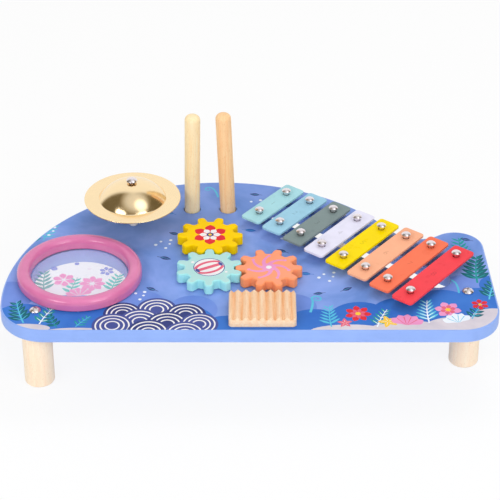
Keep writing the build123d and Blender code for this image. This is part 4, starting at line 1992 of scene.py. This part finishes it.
@dataclass
class Drum(SubAssembly):
    """A painted ring that holds a clear printed film over a hole in the board.

    Attributes:
        ring_width: The width of the ring's section.
        top_round: The rounding of its upper corners.
        foot_round: The rounding of its lower corners.
    """

    ring_width: float = 12.2
    top_round: float = 5.49
    foot_round: float = 1.2

    def build(self) -> None:
        """Builds the ring, the film and the screws."""
        place = seat("drum_ring")
        self.build_ring(place)
        mesh = PrintedSolid("drum_skin", Ink.CLEAR, Ink.CLEAR).print(self.picture(), place.foot)
        add_piece("drum_skin", mesh, "table")
        mesh = BASE_SCREW.mesh("drum_ring_screws", 23, ZINC)
        add_piece("drum_ring_screws", mesh, "table")

    def build_ring(self, place: Seat) -> None:
        """Turns the ring with its full upper rounding.

        Args:
            place: The ring's box.
        """
        outer = place.size.x / 2
        inner = outer - self.ring_width
        height = place.size.z
        section = [
            *arc((inner + self.foot_round, self.foot_round), self.foot_round, 180, 270, 5),
            *arc((outer - self.foot_round, self.foot_round), self.foot_round, 270, 360, 5),
            *arc((outer - self.top_round, height - self.top_round), self.top_round, 0, 90, 12),
            *arc((inner + self.top_round, height - self.top_round), self.top_round, 90, 180, 12),
        ]
        mesh = turned_mesh(section, place.foot, Ink.MAUVE, segments=192)
        add_piece("drum_ring", mesh, "table")

    def picture(self) -> list[Figure]:
        """A low hill with flowers on the clear film.

        Returns:
            The figures.
        """
        return [
            Patch(Spot(-10, -34, 78), Ink.PEARL, flat=0.55),
            Patch(Spot(24, -32, 60), Ink.PEARL, flat=0.5),
            Patch(Spot(-4, -40, 66), Ink.LILAC, flat=0.3),
            Sprig(Spot(-30, -26, 34, 10), Ink.MOSS, Ink.MOSS, pairs=4, width=0.3),
            Sprig(Spot(29, -26, 30, -8), Ink.LEAF, Ink.LEAF, pairs=4, width=0.3),
            Sprig(Spot(-7, -30, 28, -4), Ink.LEAF, Ink.MOSS, pairs=3, width=0.34),
            Blossom(Spot(-14, -6, 21, 12), Ink.BLUSH, Ink.PEARL, 6, 0.62),
            Blossom(Spot(12, -12, 24, 0), Ink.BLUSH, Ink.PEARL, 8, 0.5),
            Blossom(Spot(24, 8, 14, 10), Ink.LILAC, Ink.PEARL, 6, 0.6),
            Fan(Spot(2, -32, 14, 12), Ink.BLUSH, Ink.PEARL),
            Patch(Spot(-24, 12, 6), Ink.LILAC),
            Patch(Spot(-4, 20, 4.5), Ink.LILAC),
            Patch(Spot(8, 12, 3.5), Ink.PEARL),
        ]


@dataclass
class Cymbal(SubAssembly):
    """A spun cymbal, loose on its screw over a felt washer.

    Attributes:
        place: The box of the plate.
        sheet: The sheet's thickness.
        dome_radius: The radius where the dome would meet the flange.
        dome_height: The dome's height over the flange.
        crease: The rounding between the two, on the outside.
        hole: The radius of the hole.
        screw: The long screw with its domed head.
        felt: The washer under the dome.
    """

    place: Seat
    sheet: float = 0.8
    dome_radius: float = 31.6
    dome_height: float = 16.5
    crease: float = 1.4
    hole: float = 3.2
    screw: Fastener = RoundHead(5.1, 3.4, 2.5)
    felt: Washer = Washer(7.0, 3.0, 0.5)

    def build(self) -> None:
        """Builds the plate, the washer, the screw, and dresses the spacer and the nut."""
        brass = Metal("spun_brass", (255, 229, 184), 0.17, tuple(self.place.centre.xy))
        foot = self.place.foot + UP * self.sheet
        mesh = turned_mesh(self.section(), foot, brass, segments=192)
        add_piece("cymbal_plate", mesh, "cymbal")
        add_piece("cymbal_felt", self.felt.mesh("cymbal_felt", SHADE_DARK_FELT), "cymbal_rocker")
        box = seat("cymbal_screw")
        mesh = turned_mesh(self.screw.section(box.size.z), box.crown, NICKEL, segments=64)
        add_piece("cymbal_screw", mesh, "table")
        dress_node("cymbal_spacer", NYLON)
        dress_node("cymbal_nut", ZINC)

    def section(self) -> list[Point]:
        """The sheet's section, from the hole's upper edge out over the rim and back below.

        Returns:
            The points.
        """
        sphere = (self.dome_radius ** 2 + self.dome_height ** 2) / (2 * self.dome_height)
        low = self.dome_height - sphere
        reach = sqrt((sphere + self.crease) ** 2 - (self.crease - low) ** 2)
        meet = degrees(atan2(self.crease - low, reach))
        edge = self.place.size.x / 2
        half = self.sheet / 2
        inner = sphere - self.sheet
        return [
            *arc((0, low), sphere, degrees(acos(self.hole / sphere)), meet, 28),
            *arc((reach, self.crease), self.crease, 180 + meet, 270)[1:],
            *arc((edge - half, -half), half, 90, -90, 6),
            *arc((reach, self.crease), self.crease + self.sheet, 270, 180 + meet)[:-1],
            *arc((0, low), inner, meet, degrees(acos(self.hole / inner)), 28),
        ]


@dataclass
class Gears(SubAssembly):
    """Three printed gears on dowels, with their washers and screws.

    Attributes:
        screw: The screws from below.
        slip: The thin washers over the board.
        dowel: The finish of the dowels.
        dot_reach: How far the dots round the flower are from its middle.
    """

    screw: Fastener = RoundHead(3.5, 2.2, 1.75, 3.4, 1.54, looks_down=True)
    slip: Washer = Washer(9.0, 6.1, 0.25)
    dowel: Wood = Wood("dowel_beech", (250, 222, 188), (232, 192, 150), (0, 0, 1), 3.0, 31.0)
    dot_reach: float = 13.775

    def build(self) -> None:
        """Builds each gear and the washers under them."""
        ball = [
            Ball(Spot(0, 0, 27, -62), Ink.CREAM, Ink.ROSE),
            Patch(Spot(-15, 8, 3.2), Ink.CREAM),
            Patch(Spot(15.5, -7.5, 2.6), Ink.CREAM),
        ]
        dress = {
            "yellow": (Ink.YELLOW, Ink.AMBER, self.flower()),
            "mint": (Ink.MINT, Ink.AQUA, ball),
            "orange": (Ink.PEACH, Ink.CORAL, [Pinwheel(Spot(0, 0, 37, 10), Ink.PINK)]),
        }
        for colour, (top, sides, figures) in dress.items():
            node = "gear_" + colour
            body = colour + "_gear"
            mesh = PrintedSolid(node, top, sides).print(figures, seat(node).centre)
            add_piece(node, mesh, body)
            dress_node(node + "_spindle", self.dowel)
            dress_node(node + "_washer", ZINC)
            screw = node + "_screw"
            add_piece(screw, self.screw.mesh(screw, len(screw), ZINC), body)
        mesh = self.slip.mesh("gear_slip_washers", NYLON)
        add_piece("gear_slip_washers", mesh, "table")

    def flower(self) -> list[Figure]:
        """A red and white flower with small dots round it.

        Returns:
            The figures.
        """
        drawn: list[Figure] = []
        for turn in around(6, 0.5):
            x, y = self.dot_reach * cos(radians(turn)), self.dot_reach * sin(radians(turn))
            drawn.append(Patch(Spot(x, y, 2.34), Ink.CREAM))
        drawn.append(Blossom(Spot(0, 0, 33), Ink.RED, Ink.NAVY, 6, 0.6, Ink.CREAM))
        drawn.append(Patch(Spot(0, 0, 3.4), Ink.SUN))
        return drawn


@dataclass
class Guiro(SubAssembly):
    """A grooved hardwood block to scrape a beater along.

    Attributes:
        grooves: How many grooves it has.
        steps: How many columns of the mesh make a groove.
        groove_depth: The depth of a groove.
        end_land: The flat strip at each end.
        corner_round: The rounding of the upright corners.
        rib_round: How much the bottoms of the grooves are eased.
    """

    grooves: int = 8
    steps: int = 12
    groove_depth: float = 3.2
    end_land: float = 0.8
    corner_round: float = 3.5
    rib_round: float = 0.08

    def build(self) -> None:
        """Builds the block and its screws."""
        box = seat("guiro_block")
        wood = GroovedWood(
            "guiro_maple", (255, 232, 202), (246, 196, 150), (0, 1, 0), ring=2.6, offset=12.0,
            pitch=(box.size.x - 2 * self.end_land) / self.grooves,
            middle=box.centre.x,
            floor=box.high.z - self.groove_depth,
        )
        lengths = {
            "width": box.size.x,
            "depth": box.size.y,
            "height": box.size.z,
            "groove_depth": self.groove_depth,
            "end_land": self.end_land,
            "corner_round": self.corner_round,
        }
        recipe = ribbed_block_recipe(self.grooves, self.steps)
        mesh = recipe.cook([box.foot], wood, lengths, rib_round=self.rib_round)
        add_piece("guiro_block", mesh, "table")
        add_piece("guiro_screws", BASE_SCREW.mesh("guiro_screws", 37, ZINC), "table")


@dataclass
class Keys(SubAssembly):
    """Eight enamelled bars, loose on pins over felt cushions.

    Attributes:
        enamels: Each bar's colour, from the shortest to the longest.
        angle: The bars' angle to the front edge, in degrees.
        stamp_size: The size of the stamped numerals.
        stamp_tone: Their brightness as a share of the bar's, darker as painted shade of the stamping.
        pin: The pins.
        cushion: The cushions.
    """

    enamels: tuple[Rgb, ...] = (
        (170, 220, 228), (160, 208, 230), (130, 146, 146), (232, 230, 248),
        (255, 222, 0), (255, 182, 144), (255, 124, 90), (248, 74, 84),
    )
    angle: float = 52.0
    stamp_size: float = 9.0
    stamp_tone: float = 0.9
    pin: Fastener = RoundHead(4.3, 2.6, 2.6)
    cushion: Washer = Washer(4.8, 2.65, 0.9)

    def build(self) -> None:
        """Builds the bars, the pins and the cushions."""
        for number, colour in enumerate(self.enamels, 1):
            self.build_key(number, colour)
        add_piece("key_pins", self.pin.mesh("key_pins", 5, NICKEL), "table")
        add_piece("key_cushions", self.cushion.mesh("key_cushions", SHADE_DARK_FELT), "table")

    def build_key(self, number: int, colour: Rgb) -> None:
        """Builds a bar with its stamped numeral.

        Args:
            number: The bar's number.
            colour: Its colour.
        """
        node = f"key_{number}"
        coat = Enamel(node + "_enamel", colour)
        # painted shade: the numeral is drawn darker than the bar in place of the relief of the
        # stamping
        tone = tuple(round(value * self.stamp_tone) for value in colour)
        stamp = Enamel(node + "_stamp", tone, 0.5)
        numeral = Numeral(Spot(0, 0, self.stamp_size, self.angle - 90), stamp, coat, number)
        mesh = PrintedSolid(node, coat, coat).print([numeral], seat(node).centre)
        add_piece(node, mesh, f"bar_{number}")


@dataclass
class Beaters(SubAssembly):
    """Two plain turned beaters that stand in the board.

    Attributes:
        radius: Their radius.
        length: Their length.
        top_round: The rounding of the upper end.
        foot_round: The rounding of the lower end.
    """

    radius: float = 7.25
    length: float = 113.6
    top_round: float = 5.0
    foot_round: float = 1.0

    def build(self) -> None:
        """Turns both beaters along their joints' axes."""
        finishes = {
            "left": ((255, 240, 200), (255, 222, 166), (0, 0, 1), 2.6, 5.0),
            "right": ((255, 220, 170), (250, 194, 138), (0, 0, 1), 2.2, 21.0),
        }
        for side, values in finishes.items():
            wood = Wood(side + "_beater_birch", *values)
            node = "stick_" + side
            joint = next(joint for joint in frame["joints"] if joint["name"] == side + "_stick_lift")
            axis = Vector(joint["axis"]).normalized()
            foot = seat(node).centre - axis * (self.length / 2)
            mesh = turned_mesh(self.section(), foot, wood, segments=72, axis=axis)
            add_piece(node, mesh, side + "_stick")

    def section(self) -> list[Point]:
        """The half section with both ends rounded.

        Returns:
            The points.
        """
        shoulder = self.length - self.top_round
        return [
            (0, 0),
            *arc((self.radius - self.foot_round, self.foot_round), self.foot_round, -90, 0, 4),
            *arc((self.radius - self.top_round, shoulder), self.top_round, 0, 90, 12),
            (0, self.length),
        ]


# ---- The studio ----


@dataclass(frozen=True)
class Lamp:
    """A soft rectangular lamp that looks at the table.

    Attributes:
        name: Its name.
        place: Where it hangs, in metres.
        width: Its width in metres.
        height: Its height in metres.
        power: Its power in watts.
        mirrored: Whether shiny pieces mirror it.
    """

    name: str
    place: Vector
    width: float
    height: float
    power: float
    mirrored: bool = True

    def hang(self) -> None:
        """Adds the lamp."""
        light = bpy.data.lights.new(self.name, "AREA")
        light.shape = "RECTANGLE"
        light.size = self.width
        light.size_y = self.height
        light.energy = self.power
        lamp = bpy.data.objects.new(self.name, light)
        lamp.location = self.place
        lamp.rotation_euler = (LAMP_AIM - self.place).to_track_quat("-Z", "Y").to_euler()
        lamp.visible_glossy = self.mirrored
        bpy.context.scene.collection.objects.link(lamp)


@dataclass(frozen=True)
class Glow:
    """A soft glow in the surroundings, which only metal shows.

    Attributes:
        aim: Its direction.
        strength: How bright it is in its middle.
        edge: The cosine of the angle from its middle to its edge.
    """

    aim: Vector
    strength: float
    edge: float


@dataclass
class Studio:
    """A pale floor, soft lamps and the camera.

    Attributes:
        floor_size: The floor's length and width in metres.
        pitch: The angle at which the camera looks down, in degrees.
        distance: The distance from the camera to its target, in metres.
        target: What the camera looks at, in metres.
        lens: The focal length for a sensor of 36 mm.
        paper: The share of white that the floor always shows. The rest of it takes light and shadow.
        even: The light of the surroundings, from every side.
        sheet: Where the pale sheet behind begins and where it is full, as seen in metal.
        sheet_bow: How much the sheet falls off to the sides.
        room: What metal mirrors of the dim room round the camera.
        warmth: The colour of that room.
        glows: The soft glows overhead that metal mirrors.
        lamps: The lamps.
    """

    floor_size: float = 9.0
    pitch: float = 33.5
    distance: float = 1.85
    target: Vector = Vector((0.0007, 0.0037, 0.076))
    lens: float = 144.0
    paper: float = 0.84
    even: float = 0.62
    sheet: Point = (0.08, 0.3)
    sheet_bow: float = 0.35
    room: float = 0.15
    warmth: Rgb = (255, 234, 184)
    glows: tuple[Glow, ...] = (
        Glow(Vector((0.13, -0.2, 0.97)), 0.8, 0.72),
        Glow(Vector((0.38, -0.33, 0.87)), 1.9, 0.91),
    )
    lamps: tuple[Lamp, ...] = (
        Lamp("left_softbox", Vector((-1.02, -1.02, 1.16)), 0.8, 0.3, 5.0),
        Lamp("right_softbox", Vector((0.75, -1.24, 1.16)), 0.9, 0.3, 4.6),
        Lamp("back_softbox", Vector((0.4, 0.6, 1.6)), 0.8, 0.6, 5.4, mirrored=False),
        Lamp("front_fill", Vector((0.1, -2.0, 0.85)), 2.2, 0.5, 10.5, mirrored=False),
    )

    def build(self) -> None:
        """Sets up the floor, the light, the camera and the view transform."""
        self.lay_floor()
        self.light_world()
        for lamp in self.lamps:
            lamp.hang()
        self.set_camera()
        bpy.context.scene.view_settings.view_transform = "Standard"
        LOG.info("studio: %d lamps, lens %.0f mm", len(self.lamps), self.lens)

    def lay_floor(self) -> None:
        """Lays the pale floor, which keeps a faint shadow and looks white in metal and glass too."""
        half = self.floor_size / 2
        mesh = bpy.data.meshes.new("studio_floor")
        corners = [(-half, -half, 0), (half, -half, 0), (half, half, 0), (-half, half, 0)]
        mesh.from_pydata(corners, [], [(0, 1, 2, 3)])
        material = bpy.data.materials.new("studio_paper")
        material.use_nodes = True
        paper = Wiring(material.node_tree)
        matt = paper.node("ShaderNodeBsdfDiffuse", Color=(0.95, 0.95, 0.95, 1))
        white = paper.node("ShaderNodeEmission")
        rays = paper.node("ShaderNodeLightPath").outputs
        straight = paper.math("MAXIMUM", rays["Is Camera Ray"], rays["Is Transmission Ray"])
        seen = paper.math("MAXIMUM", straight, rays["Is Glossy Ray"])
        share = paper.math("MULTIPLY", seen, self.paper)
        mixed = paper.node("ShaderNodeMixShader", Fac=share, Shader=matt, Shader_001=white)
        paper.node("ShaderNodeOutputMaterial", Surface=mixed)
        mesh.materials.append(material)
        new_object("studio_floor", mesh)

    def light_world(self) -> None:
        """Makes even surroundings, in which metal mirrors a pale sheet and a glow in a dim room."""
        world = bpy.data.worlds.new("studio_world")
        bpy.context.scene.world = world
        world.use_nodes = True
        sky = Wiring(world.node_tree)
        direction = sky.node("ShaderNodeTexCoord").outputs["Generated"]
        parts = sky.node("ShaderNodeSeparateXYZ", Vector=direction).outputs
        aside = sky.math("ABSOLUTE", parts["X"])
        behind = sky.math("MULTIPLY_ADD", aside, -self.sheet_bow, parts["Y"])
        mirrored = sky.span(behind, self.room, 1.0, *self.sheet, "SMOOTHSTEP")
        for glow in self.glows:
            aim = {"Vector": direction, "Vector_001": glow.aim.normalized()}
            facing = sky.node("ShaderNodeVectorMath", {"operation": "DOT_PRODUCT"}, **aim)
            near = facing.outputs["Value"]
            light = sky.span(near, self.room, glow.strength, glow.edge, 1.0, "SMOOTHSTEP")
            mirrored = sky.math("MAXIMUM", mirrored, light)
        rays = sky.node("ShaderNodeLightPath").outputs
        seen = sky.span(rays["Is Glossy Ray"], self.even, mirrored, 0.0, 1.0)
        strength = sky.math("MAXIMUM", seen, rays["Is Camera Ray"])
        share = sky.span(strength, 0.0, 1.0, self.room, self.even)
        tones = {"Factor_Float": share, "A_Color": linear(self.warmth), "B_Color": (1, 1, 1, 1)}
        tone = sky.node("ShaderNodeMix", {"data_type": "RGBA"}, **tones).outputs[2]
        light = sky.node("ShaderNodeBackground", Color=tone, Strength=strength)
        sky.node("ShaderNodeOutputWorld", Surface=light)

    def set_camera(self) -> None:
        """Places the camera in front of the table, above it."""
        data = bpy.data.cameras.new("studio_camera")
        data.lens = self.lens
        data.sensor_width = SENSOR_WIDTH
        data.clip_end = SIGHT
        camera = bpy.data.objects.new("studio_camera", data)
        slope = radians(self.pitch)
        camera.location = self.target + Vector((0, -cos(slope), sin(slope))) * self.distance
        camera.rotation_euler = (radians(90 - self.pitch), 0, 0)
        bpy.context.scene.collection.objects.link(camera)
        bpy.context.scene.camera = camera


def main() -> None:
    """Builds every sub-assembly in order, then the studio."""
    logging.basicConfig(level=logging.INFO, format="%(name)s: %(message)s")
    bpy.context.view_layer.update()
    groups: tuple[SubAssembly, ...] = (
        Board(), Legs(), Drum(), Cymbal(seat("cymbal_plate")), Gears(), Guiro(), Keys(), Beaters(),
    )
    for group in groups:
        LOG.info("building the %s", type(group).__name__.lower())
        group.build()
    Studio().build()


if __name__ == "__main__":
    main()
